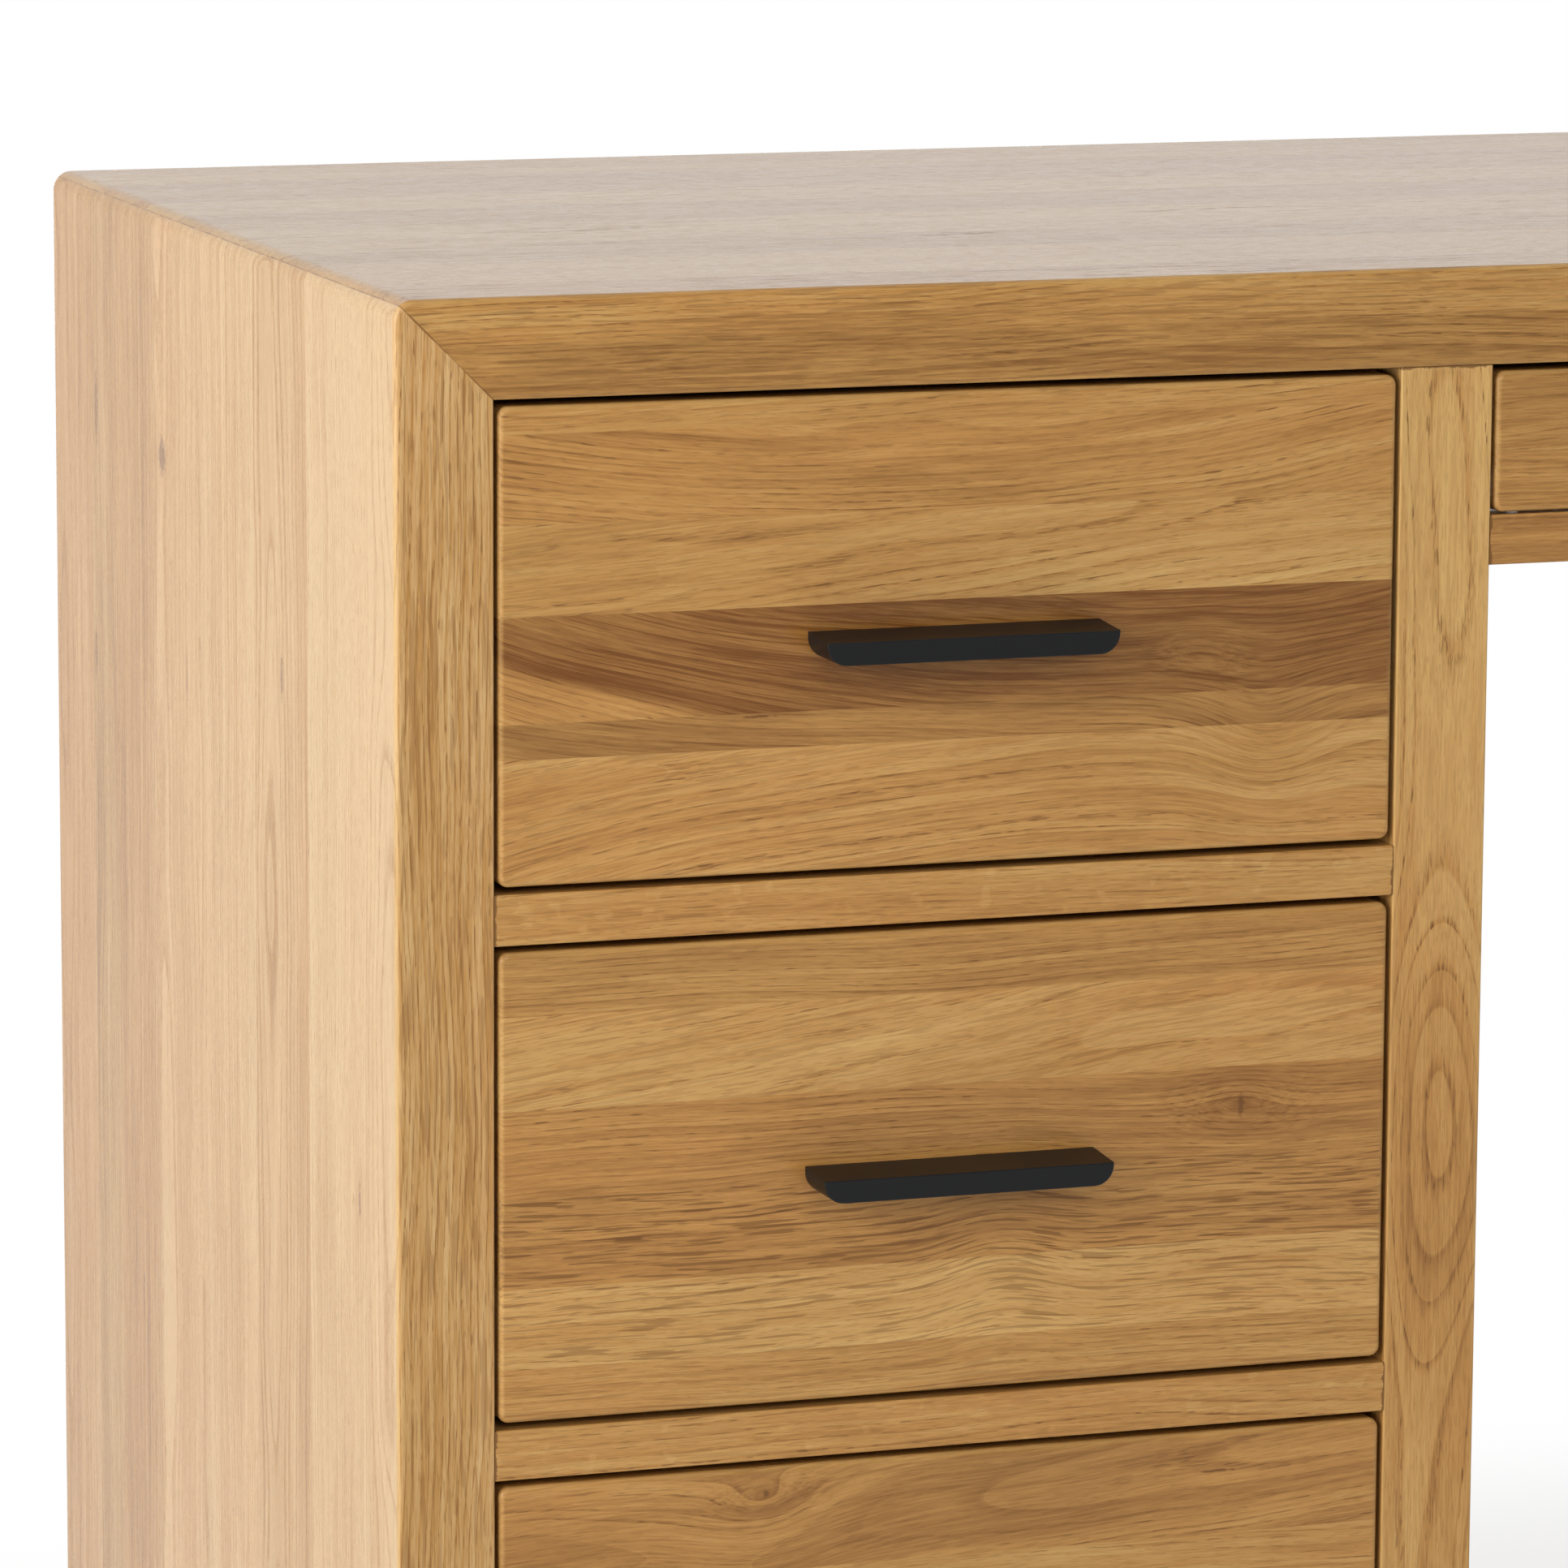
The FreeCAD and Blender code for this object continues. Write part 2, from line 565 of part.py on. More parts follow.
def finished(shape, tools):
    """A solid with the tools that reach it cut away."""
    near = [tool for tool in tools if tool.BoundBox.intersect(shape.BoundBox)]
    return shape.cut(near).Solids[0] if near else shape


def save():
    """Writes one file for each node."""
    os.makedirs("parts", exist_ok=True)
    for node in sorted({*pieces, *fixings}):
        made = [finished(shape, cuts.get(node, [])) for shape in pieces.get(node, [])]
        made.extend(fixings.get(node, []))
        whole = made[0] if len(made) == 1 else Part.makeCompound(made)
        whole.exportStep("parts/" + node + ".step")


def main():
    desktop_and_end_panels()
    inner_panels()
    for side, hand in ((-1, "left"), (1, "right")):
        pedestal(side, hand)
        for opening in pedestal_openings(side, hand):
            drawer(opening, *pedestal_boards(side, hand))
    kneehole()
    drawer(centre_opening(), "left_inner_panel", "right_inner_panel")
    floor_glides()
    save()


if __name__ == "__main__":
    main()
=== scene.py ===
"""Looks of the oak pedestal desk: its finishes, its small fittings and the studio that it stands in."""

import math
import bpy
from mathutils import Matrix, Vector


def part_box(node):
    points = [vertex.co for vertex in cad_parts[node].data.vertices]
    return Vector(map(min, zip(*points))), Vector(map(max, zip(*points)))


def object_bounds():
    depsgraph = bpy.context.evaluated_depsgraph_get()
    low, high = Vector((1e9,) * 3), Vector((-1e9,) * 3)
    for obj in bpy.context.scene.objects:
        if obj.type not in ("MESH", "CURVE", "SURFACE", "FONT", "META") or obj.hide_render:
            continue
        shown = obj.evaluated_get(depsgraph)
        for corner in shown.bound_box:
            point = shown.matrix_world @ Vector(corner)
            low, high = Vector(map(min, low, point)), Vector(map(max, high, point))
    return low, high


bl_info = {
    "name": "Oak Pedestal Desk",
    "version": (1, 0, 0),
    "blender": (4, 5, 0),
    "location": "View3D > Sidebar > Desk",
    "description": "Finishes an oak pedestal desk and lights it in a plain studio",
    "category": "Object",
}

from collections import namedtuple

import bpy
from bpy.props import FloatProperty, FloatVectorProperty, PointerProperty
from mathutils import Matrix, Vector

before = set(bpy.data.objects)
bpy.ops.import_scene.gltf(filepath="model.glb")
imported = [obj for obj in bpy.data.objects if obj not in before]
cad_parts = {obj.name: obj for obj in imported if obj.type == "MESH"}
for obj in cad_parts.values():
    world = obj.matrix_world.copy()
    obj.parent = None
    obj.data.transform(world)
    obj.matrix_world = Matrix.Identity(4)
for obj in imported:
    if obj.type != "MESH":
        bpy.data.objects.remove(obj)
CAD_BOX = [list(corner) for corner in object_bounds()]

# Sizes of the desk and of the changes in its wood, in metres
MM = 0.001
DESK_LOW, DESK_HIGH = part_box("desktop")
HALF_WIDTH = CAD_BOX[1][0]
TOP = DESK_HIGH.z
FACE = DESK_LOW.y
BACK = DESK_HIGH.y
DESKTOP_LAYER = 0.020
LAYER_BLUR = 0.003
EDGE_START = 0.0008
EDGE_FULL = 0.0002
BOX_BOARD = 0.012
TAIL_PITCH = 0.036
TAIL_FOOT = 0.014
TAIL_FLARE = 0.002
PIN_WIDTH = 0.008

# Spots per metre of each kind of mark in the oak, along the grain, across it and into the board
SWAY_SPOTS = (3.2, 7.0, 7.0)
PATCH_SPOTS = (9.0, 60.0, 60.0)
PORE_SPOTS = (120.0, 1500.0, 1500.0)
FLECK_SPOTS = (30.0, 640.0, 640.0)
FIBRE_SPOTS = (34.0, 1100.0, 1100.0)
STREAK_SPOTS = (8.0, 150.0, 150.0)
RAY_SPOTS = (95.0, 420.0, 95.0)
CLOUD_SPOTS = (5.0, 24.0, 24.0)
CAST_SPOTS = (4.0, 14.0, 14.0)
RING_SPOTS = 160.0
KNOT_SPOTS = (300.0, 420.0, 0.0)
WEAR_AND_HIGHLIGHT_SPOTS = (45.0, 45.0, 45.0)
SEAM_SPOTS = (60.0, 60.0, 60.0)
JOINT_SPOTS = (120.0, 120.0, 120.0)

# Where along its noise, or along its year, a mark starts and is full, and how weak and strong it is there
EARLY_RISE = (0.0, 0.08)
EARLY_FALL = (0.06, 0.42, 1.0, 0.0)
PATCH_STEP = (0.3, 0.7, 0.15, 1.15)
PORE_STEP = (0.55, 0.63)
FLECK_STEP = (0.57, 0.61)
RAY_STEP = (0.62, 0.70)
SEAM_STEP = (0.36, 0.62, 0.5, 2.2)
JOINT_STEP = (0.36, 0.64, 0.3, 1.6)
WEAR_AND_HIGHLIGHT_STEP = (1.0, 0.15)

# How strongly a mark follows another: its growth with that one, and its share without it
EARLY_BY_YEAR = (0.7, 0.45)
PORE_BY_EARLY = (0.9, 0.30)
FLECK_BY_EARLY = (0.7, 1.0)
CAST_BY_STAVE = (0.6, 0.4)
SHEEN_BY_FIBRE = (0.10, 0.15)
WEAR_AND_HIGHLIGHT_BY_PATCH = (1.6, 0.2)

# How the tree's centre sways, how uneven its rings are and how soft its heartwood's edge is
SWAY_ACROSS = 2.0
SWAY_INWARD = 3.2
RING_UNEVEN = 1.3
HEART_BLUR = 0.006

# How the grain swings round a knot, against the knot's reach, and how ragged its core is
KNOT_LENGTH = 1.9
KNOT_SQUEEZE = -0.7
KNOT_LIFT = 0.75
DIP_SHARPNESS = 0.16
CORE_RAGGED = 1.4
CORE_INSIDE = 0.4

# The full part of a line against its width, and a knot's least core in millimetres
LINE_INSIDE = 0.4
SMALLEST_CORE = 0.01

# How much each kind of mark changes the oak's tone, colour, gloss and relief
YEAR_TONE = 0.16
CLOUD_TONE = 0.36
FIBRE_TONE = 0.55
STREAK_TONE = 0.46
EARLY_TONE = -0.20
RAY_TONE = 0.3
UNDER_LAYER_TONE = -0.18
EDGE_TONE = -0.26
EDGE_FLECK = 0.55
PORE_STRENGTH = 0.62
CORE_STRENGTH = 0.85
SEAM_STRENGTH = 0.8
TAIL_STRENGTH = 0.6
JOINT_STRENGTH = 0.85
MARK_SHEEN = 0.16
FIBRE_HEIGHT = 0.35
EARLY_HEIGHT = -0.25
PORE_BUMP = 0.5
LACQUER_IOR = 1.5
LACQUER_GLOSS = 0.3
# Broad pieces get less of the paler edges, which are partly wear and partly painted highlight
BROAD_WEAR_AND_HIGHLIGHT = 0.5

# What sets one stave apart from the next: its place in the noise, and a warmer or cooler cast
SEED_SHIFT = (171.3, 93.1, 57.7)
RING_SEED = 37.0
YEAR_SEED = 311.0
CAST_SEED = 53.0
LAYER_SEED = 0.37
CAST_DRIFT = 1.8
WARM_CAST = (1.035, 0.97, 0.92, 1.0)
COOL_CAST = (0.975, 1.02, 1.03, 1.0)

# A stave's measures are kept in colour ramps, moved up and scaled so that they lie between 0 and 1
RAMP_MIDDLE = 0.5
BOW_SCALE = 0.1
PEAK_SCALE = 0.5

Stave = namedtuple("Stave", "width tone seed across depth slope ring fleck bow peak heart heart_at")
Knot = namedtuple("Knot", "along across reach core stretch eye dip shade")
Lamp = namedtuple("Lamp", "place aim width height")

# The studio's lamps, its floor, how far and how strongly the floor shows the desk's shadow, and where the
# room that gloss sees changes from its front to its back
KEY_LAMP = Lamp((-3.8, -1.5, 1.4), (-0.5, 0.0, 0.5), 2.6, 2.2)
FILL_LAMP = Lamp((-1.2, -4.6, 2.4), (-0.3, -0.2, 0.45), 2.4, 1.6)
REAR_LAMP = Lamp((0.9, 3.4, 0.38), (0.1, 0.3, 0.36), 2.6, 0.6)
FLOOR_SIZE = 16.0
SHADOW_REACH = 0.35
SHADOW_LEVEL = 0.75
ROOM_TURN = (-0.75, -0.15)


def stave(width, tone, seed, across=55, depth=32, slope=0.0, ring=3.2, fleck=0.0,
          bow=0.0, peak=0.0, heart=0.0, heart_at=0.0):
    """One glued strip of a board. Its width, its rings and the tree's centre are in millimetres."""
    return Stave(width, tone, seed, across, depth, slope, ring, fleck, bow, peak, heart, heart_at)


def knot(along, across, reach, core=0.0, stretch=1.0, eye=0.0, dip=0.0, shade=0.0):
    """One mark in the grain, in millimetres: a dark core, rings that close round it, lines that dip past
    it or a browner patch. A broad patch alone is painted shade low on the left end panel, and darkens
    the inner panels' front edges lower down."""
    return Knot(along, across, reach, core, stretch, eye, dip, shade)


FRONT_STAVES = {
    "left_upper": (
        stave(12, 0.52, 0.11, across=48, slope=-0.03),
        stave(38.5, 0.47, 0.23, across=36, depth=40, ring=2.6, bow=-0.35, peak=-570),
        stave(39.5, 0.58, 0.37, across=52, slope=-0.07, ring=3.4),
        stave(45, 0.12, 0.47, across=34, depth=26, ring=3.0, bow=-0.55, peak=-450, heart=0.36, heart_at=86),
        stave(15, 0.34, 0.53, across=60, slope=0.03, bow=-0.2, peak=-450),
        stave(54, 0.60, 0.67, across=38, depth=20, ring=3.8, fleck=0.3, bow=0.45, peak=-480),
    ),
    "left_middle": (
        stave(28, 0.42, 0.19, across=80, ring=2.4),
        stave(41, 0.67, 0.29, across=44, slope=-0.11, ring=3.6, fleck=0.35),
        stave(38, 0.42, 0.35, across=58, ring=2.8, fleck=0.15),
        stave(39, 0.44, 0.47, across=24, depth=18, ring=3.6, fleck=1.0),
        stave(35, 0.74, 0.59, across=50, depth=40, ring=3.4, fleck=0.7),
        stave(23, 0.52, 0.71, across=66, fleck=0.4),
    ),
    "left_lower": (
        stave(47, 0.42, 0.13, across=46, slope=-0.08, ring=3.2),
        stave(33, 0.60, 0.27, across=62),
        stave(52, 0.40, 0.43, across=14, depth=16, ring=4.0, fleck=0.4),
        stave(40, 0.56, 0.61, across=70),
        stave(32, 0.47, 0.73, across=40, slope=-0.04),
    ),
    "centre": (
        stave(34, 0.44, 0.17, across=58, ring=2.9, fleck=0.3),
        stave(26, 0.41, 0.33, across=44, ring=3.3, fleck=0.4),
    ),
    "right_upper": (
        stave(40, 0.56, 0.21, across=66, slope=0.03),
        stave(32, 0.40, 0.39, across=38, depth=24),
        stave(46, 0.64, 0.49, across=20, depth=18, ring=3.8),
        stave(38, 0.46, 0.57, across=72, ring=2.7),
        stave(48, 0.58, 0.69, across=54, slope=-0.05),
    ),
    "right_middle": (
        stave(36, 0.43, 0.15, across=60, ring=2.8, fleck=0.4),
        stave(44, 0.60, 0.25, across=18, depth=22, ring=3.6),
        stave(30, 0.26, 0.35, across=50, slope=-0.06),
        stave(52, 0.54, 0.45, across=64, ring=3.0),
        stave(42, 0.64, 0.65, across=42, slope=0.07),
    ),
    "right_lower": (
        stave(50, 0.58, 0.18, across=26, depth=20, ring=3.8),
        stave(36, 0.44, 0.28, across=68),
        stave(44, 0.54, 0.38, across=52, slope=0.05, fleck=0.5),
        stave(34, 0.34, 0.48, across=36, ring=2.8),
        stave(40, 0.62, 0.58, across=60),
    ),
}
FRONT_KNOTS = {
    "left_upper": (
        knot(-408, 566, 15, dip=12, shade=0.16), knot(-640, 588, 3, core=0.8, stretch=12),
        knot(-438, 607, 9, eye=0.6),
    ),
    "left_middle": (
        knot(-417, 406, 13, core=6.5, stretch=0.28, eye=0.8, shade=0.16), knot(-529, 345, 16, dip=-9),
    ),
    "left_lower": (
        knot(-635, 248, 10, core=2.2, stretch=0.8, eye=0.8, shade=0.12), knot(-640, 222, 20, dip=9),
        knot(-426, 242, 3, core=0.8, stretch=14),
    ),
    "right_middle": (knot(470, 340, 16, dip=8, shade=0.1),),
    "right_lower": (knot(610, 196, 12, core=2.6, stretch=0.8, eye=0.8, shade=0.15),),
}
END_PANEL_KNOTS_AND_SHADE = (
    knot(666, 229, 6, core=3.4, stretch=7), knot(547, 233, 6, core=2.8, stretch=6),
    knot(657, 103, 12, core=8.0, stretch=1.4, shade=0.12), knot(585, -106, 6, core=2.6, stretch=5),
    knot(376, -229, 9, core=2.0, stretch=5, shade=0.1), knot(300, 40, 9, eye=0.7),
    knot(560, 60, 5, core=1.2, stretch=16), knot(250, 150, 6, core=1.6, stretch=10),
    # Painted shade: a broad darker patch low on the front part of the left end panel
    knot(220, -205, 135, shade=0.20),
)
END_PANEL_STAVES = (
    stave(42, 1.00, 0.12, across=-20, depth=62, ring=3.3),
    stave(94, 1.02, 0.26, across=70, ring=3.0),
    stave(90, 0.78, 0.34, across=20, depth=24, ring=4.8, fleck=0.2),
    stave(31, 0.94, 0.46, across=60, ring=2.6),
    stave(67, 0.86, 0.52, across=48, ring=4.2),
    stave(77, 0.86, 0.64, across=30, depth=26, ring=5.0),
    stave(76, 0.63, 0.72, across=66, ring=2.8),
    stave(46, 0.58, 0.73, across=50, ring=3.0),
    stave(77, 0.67, 0.80, across=24, depth=22, ring=5.0),
)
INNER_PANEL_STAVES = (
    stave(50, 0.86, 0.18, across=-7.5, depth=-21, ring=3.5, fleck=0.2, bow=-2.0, peak=379),
    stave(86, 0.60, 0.36, across=60),
    stave(104, 0.68, 0.44, across=22, depth=24, ring=3.6),
    stave(72, 0.54, 0.56, across=64),
    stave(96, 0.64, 0.62, across=44),
    stave(80, 0.58, 0.74, across=70),
    stave(112, 0.62, 0.82, across=28, depth=26),
)
# A broad patch that darkens the inner panels' front edges lower down
INNER_PANEL_LOW_PATCH = (knot(340, -290, 98, shade=0.36),)
DESKTOP_STAVES = (
    stave(48, 0.51, 0.14, across=-14, depth=56, ring=2.9, fleck=0.5),
    stave(92, 0.70, 0.24, across=64),
    stave(66, 0.58, 0.32, across=22, depth=24, ring=3.8, fleck=0.25),
    stave(88, 0.75, 0.41, across=12, depth=30, ring=4.2),
    stave(74, 0.61, 0.53, across=70, fleck=0.15),
    stave(60, 0.79, 0.63, across=26, depth=22, ring=3.6),
    stave(84, 0.57, 0.77, across=60, ring=2.8),
    stave(88, 0.70, 0.35, across=-18, depth=26, ring=4.0, fleck=0.2),
)
RAIL_STAVES = (
    stave(30, 0.57, 0.16, across=26, depth=40, ring=3.0, fleck=0.2),
    stave(30, 0.50, 0.68, across=50, ring=2.8),
)
CENTRE_RAIL_STAVES = (stave(60, 0.42, 0.61, across=30, depth=40, ring=3.0, fleck=0.2),)
VENEER_STAVES = tuple(
    stave(102.5, tone, seed, across=across, depth=depth, ring=3.4)
    for tone, seed, across, depth in (
        (0.60, 0.20, 18, 22), (0.66, 0.30, 34, 22), (0.58, 0.40, 20, 26), (0.64, 0.50, 30, 24)))
BOX_STAVES = (
    stave(62, 0.56, 0.31, across=12, depth=34, ring=4.4),
    stave(48, 0.44, 0.51, across=46, ring=3.4),
    stave(54, 0.62, 0.77, across=-16, depth=30, ring=4.8),
)
PLY_SHEET = (stave(500, 0.46, 0.44, across=30, depth=44, ring=11.0),)


class DeskOak(bpy.types.PropertyGroup):
    """Colours and surface of the lacquered oak"""
    brown: FloatVectorProperty(
        name="Brown", description="Darkest heartwood of a stave", subtype="COLOR", size=4,
        min=0.0, max=1.0, default=(0.163, 0.057, 0.008, 1.0))
    golden: FloatVectorProperty(
        name="Golden", description="Ordinary tone of the oak", subtype="COLOR", size=4,
        min=0.0, max=1.0, default=(0.430, 0.217, 0.060, 1.0))
    pale: FloatVectorProperty(
        name="Pale", description="Palest sapwood of a stave", subtype="COLOR", size=4,
        min=0.0, max=1.0, default=(0.582, 0.366, 0.132, 1.0))
    blush: FloatVectorProperty(
        name="Blush", description="Palest wood of the end panels", subtype="COLOR", size=4,
        min=0.0, max=1.0, default=(0.588, 0.373, 0.168, 1.0))
    pore: FloatVectorProperty(
        name="Pore", description="Open pores along the growth rings", subtype="COLOR", size=4,
        min=0.0, max=1.0, default=(0.140, 0.054, 0.010, 1.0))
    soft_pore: FloatVectorProperty(
        name="Soft Pore", description="Pores of the end panels' pale wood", subtype="COLOR", size=4,
        min=0.0, max=1.0, default=(0.390, 0.215, 0.085, 1.0))
    edge_pore: FloatVectorProperty(
        name="Edge Pore", description="Knots and front edges of the end panels", subtype="COLOR", size=4,
        min=0.0, max=1.0, default=(0.235, 0.105, 0.026, 1.0))
    pore_relief: FloatProperty(
        name="Pore Relief", description="How deep the pores lie under the lacquer", unit="LENGTH",
        min=0.0, max=0.001, default=0.00016)
    # Paler edges: partly handled wear, partly painted highlight on the rounded edges
    wear: FloatProperty(
        name="Edge Wear", description="How pale the handled edges are", subtype="FACTOR",
        min=0.0, max=1.0, default=0.28)


class DeskFittings(bpy.types.PropertyGroup):
    """Colours of the handles, runners, drawer boxes and glides"""
    handle: FloatVectorProperty(
        name="Handle", description="Black powder coat of the handles", subtype="COLOR", size=4,
        min=0.0, max=1.0, default=(0.0042, 0.0045, 0.0050, 1.0))
    steel: FloatVectorProperty(
        name="Steel", description="Zinc plate of runners and screws", subtype="COLOR", size=4,
        min=0.0, max=1.0, default=(0.62, 0.63, 0.64, 1.0))
    box_pale: FloatVectorProperty(
        name="Box Wood", description="Pale wood of the drawer boxes", subtype="COLOR", size=4,
        min=0.0, max=1.0, default=(0.68, 0.51, 0.30, 1.0))
    box_golden: FloatVectorProperty(
        name="Box Wood Tone", description="Ordinary tone of the drawer boxes' wood", subtype="COLOR",
        size=4, min=0.0, max=1.0, default=(0.56, 0.385, 0.20, 1.0))
    box_brown: FloatVectorProperty(
        name="Box Wood Rings", description="Darker rings in the drawer boxes' wood", subtype="COLOR",
        size=4, min=0.0, max=1.0, default=(0.37, 0.215, 0.095, 1.0))
    ply: FloatVectorProperty(
        name="Plywood", description="Birch face of the drawer bottoms", subtype="COLOR", size=4,
        min=0.0, max=1.0, default=(0.70, 0.54, 0.34, 1.0))
    glide: FloatVectorProperty(
        name="Glide", description="Nylon of the floor glides", subtype="COLOR", size=4,
        min=0.0, max=1.0, default=(0.030, 0.028, 0.026, 1.0))


class DeskStudio(bpy.types.PropertyGroup):
    """Camera, lamps and floor of the studio"""
    camera_place: FloatVectorProperty(
        name="Camera Place", description="Where the camera stands", subtype="TRANSLATION", size=3,
        default=(-1.71117, -3.47495, 1.13254))
    camera_yaw: FloatProperty(
        name="Camera Yaw", description="Turn of the camera to the right", subtype="ANGLE", default=0.3274)
    camera_pitch: FloatProperty(
        name="Camera Pitch", description="Tilt of the camera downwards", subtype="ANGLE", default=0.1689)
    camera_roll: FloatProperty(
        name="Camera Roll", description="Lean of the camera to the right", subtype="ANGLE", default=-0.0049)
    lens: FloatProperty(
        name="Lens", description="Focal length of the camera", unit="CAMERA", default=184.46)
    key_power: FloatProperty(
        name="Key Power", description="Strength of the large soft lamp at the left", unit="POWER",
        default=112.0)
    fill_power: FloatProperty(
        name="Fill Power", description="Strength of the soft lamp in front", unit="POWER", default=48.0)
    rear_power: FloatProperty(
        name="Rear Power", description="Strength of the low lamp behind the desk", unit="POWER",
        default=42.0)
    room_level: FloatProperty(
        name="Room Level", description="Brightness of the room on dull surfaces", min=0.0, max=1.0,
        default=0.50)
    room_front: FloatProperty(
        name="Room Front", description="Brightness that gloss sees on the camera's side", min=0.0, max=1.0,
        default=0.18)
    floor: FloatVectorProperty(
        name="Floor", description="Colour of the pale floor", subtype="COLOR", size=4,
        min=0.0, max=1.0, default=(0.80, 0.80, 0.79, 1.0))


NUMBER, COLOUR, PLACE = "NodeSocketFloat", "NodeSocketColor", "NodeSocketVector"
ORIGIN = (0.0, 0.0, 0.0)
UNIT = (1.0, 1.0, 1.0)
WHITE = (1.0, 1.0, 1.0, 1.0)


def put(tree, kind, inputs=None, **options):
    """Add a node, set its options, then fill or wire its inputs."""
    node = tree.nodes.new(kind)
    for option, value in options.items():
        setattr(node, option, value)
    for key, value in (inputs or {}).items():
        if isinstance(value, bpy.types.NodeSocket):
            tree.links.new(value, node.inputs[key])
        else:
            node.inputs[key].default_value = value
    return node


def use(tree, group, inputs):
    """Place a node group with its own values; gives its outputs."""
    return put(tree, "ShaderNodeGroup", inputs, node_tree=group).outputs


def calc(tree, operation, a, b=0.0, c=0.0, clamp=False):
    """A sum on up to three numbers."""
    return put(tree, "ShaderNodeMath", {0: a, 1: b, 2: c}, operation=operation, use_clamp=clamp).outputs[0]


def times(tree, a, b, clamp=False):
    """The product of two numbers."""
    return calc(tree, "MULTIPLY", a, b, clamp=clamp)


def plus(tree, a, b, clamp=False):
    """The sum of two numbers."""
    return calc(tree, "ADD", a, b, clamp=clamp)


def less(tree, a, b):
    """A number less another."""
    return calc(tree, "SUBTRACT", a, b)


def times_plus(tree, a, b, c, clamp=False):
    """The product of two numbers, plus a third."""
    return calc(tree, "MULTIPLY_ADD", a, b, c, clamp)


def vector_calc(tree, operation, a, b):
    """A sum on two places."""
    return put(tree, "ShaderNodeVectorMath", {0: a, 1: b}, operation=operation).outputs[0]


def split(tree, place):
    """The three measures of a place."""
    return put(tree, "ShaderNodeSeparateXYZ", {0: place}).outputs


def join(tree, x, y, z=0.0):
    """A place from its measures."""
    return put(tree, "ShaderNodeCombineXYZ", {0: x, 1: y, 2: z}).outputs[0]


def square(tree, value):
    """A number times itself."""
    return times(tree, value, value)


def distance(tree, a, b):
    """The straight distance over two measures."""
    return calc(tree, "SQRT", times_plus(tree, a, a, square(tree, b)))


def falloff(tree, squared):
    """1 in the middle, fading to 0 as a squared distance grows."""
    return calc(tree, "EXPONENT", times(tree, squared, -1.0))


def centred(tree, value):
    """A value between 0 and 1, moved to lie round 0."""
    return less(tree, value, RAMP_MIDDLE)


def ease(tree, value, start, stop, first=0.0, last=1.0):
    """A smooth step from first to last while value goes from start to stop."""
    node = put(tree, "ShaderNodeMapRange", {0: value, 1: start, 2: stop, 3: first, 4: last},
               interpolation_type="SMOOTHSTEP")
    return node.outputs[0]


def blend(tree, factor, a, b, mode="MIX"):
    """One colour laid over another."""
    node = put(tree, "ShaderNodeMix", {0: factor, 6: a, 7: b}, data_type="RGBA", blend_type=mode)
    return node.outputs[2]


def stain(tree, colour, mask, strength, over):
    """A colour laid over another where a mask shows it."""
    return blend(tree, times(tree, mask, strength), colour, over)


def mottle(tree, place, spots, shift=ORIGIN, detail=2.0, roughness=0.5):
    """Noise with the given number of spots per metre along each axis."""
    where = put(tree, "ShaderNodeVectorMath", {0: place, 1: spots, 2: shift}, operation="MULTIPLY_ADD")
    return put(tree, "ShaderNodeTexNoise", {
        "Vector": where.outputs[0], "Scale": 1.0, "Detail": detail, "Roughness": roughness}).outputs


def chance(tree, number):
    """A chance value that belongs to a number."""
    return put(tree, "ShaderNodeTexWhiteNoise", {"W": number}, noise_dimensions="1D").outputs[0]


def between(tree, noise, least, most):
    """A value that a noise moves between its least and its most."""
    return times_plus(tree, noise, most - least, least)


def object_place(tree):
    """The place on the piece that a material reads."""
    return put(tree, "ShaderNodeTexCoord").outputs["Object"]


def built_once(make):
    """Build a node group under its function's name on first use, and give the same one after that."""
    def group():
        if make.__name__ not in bpy.data.node_groups:
            make(make.__name__)
        return bpy.data.node_groups[make.__name__]
    return group


def new_group(name, inputs, outputs):
    """An empty shader group with named sockets; gives the tree, its inputs and its outputs."""
    tree = bpy.data.node_groups.new(name, "ShaderNodeTree")
    for title, kind, value in inputs:
        socket = tree.interface.new_socket(title, in_out="INPUT", socket_type=kind)
        socket.default_value = value
    for title, kind in outputs:
        tree.interface.new_socket(title, in_out="OUTPUT", socket_type=kind)
    start = tree.nodes.new("NodeGroupInput")
    end = tree.nodes.new("NodeGroupOutput")
    return tree, start.outputs, end.inputs


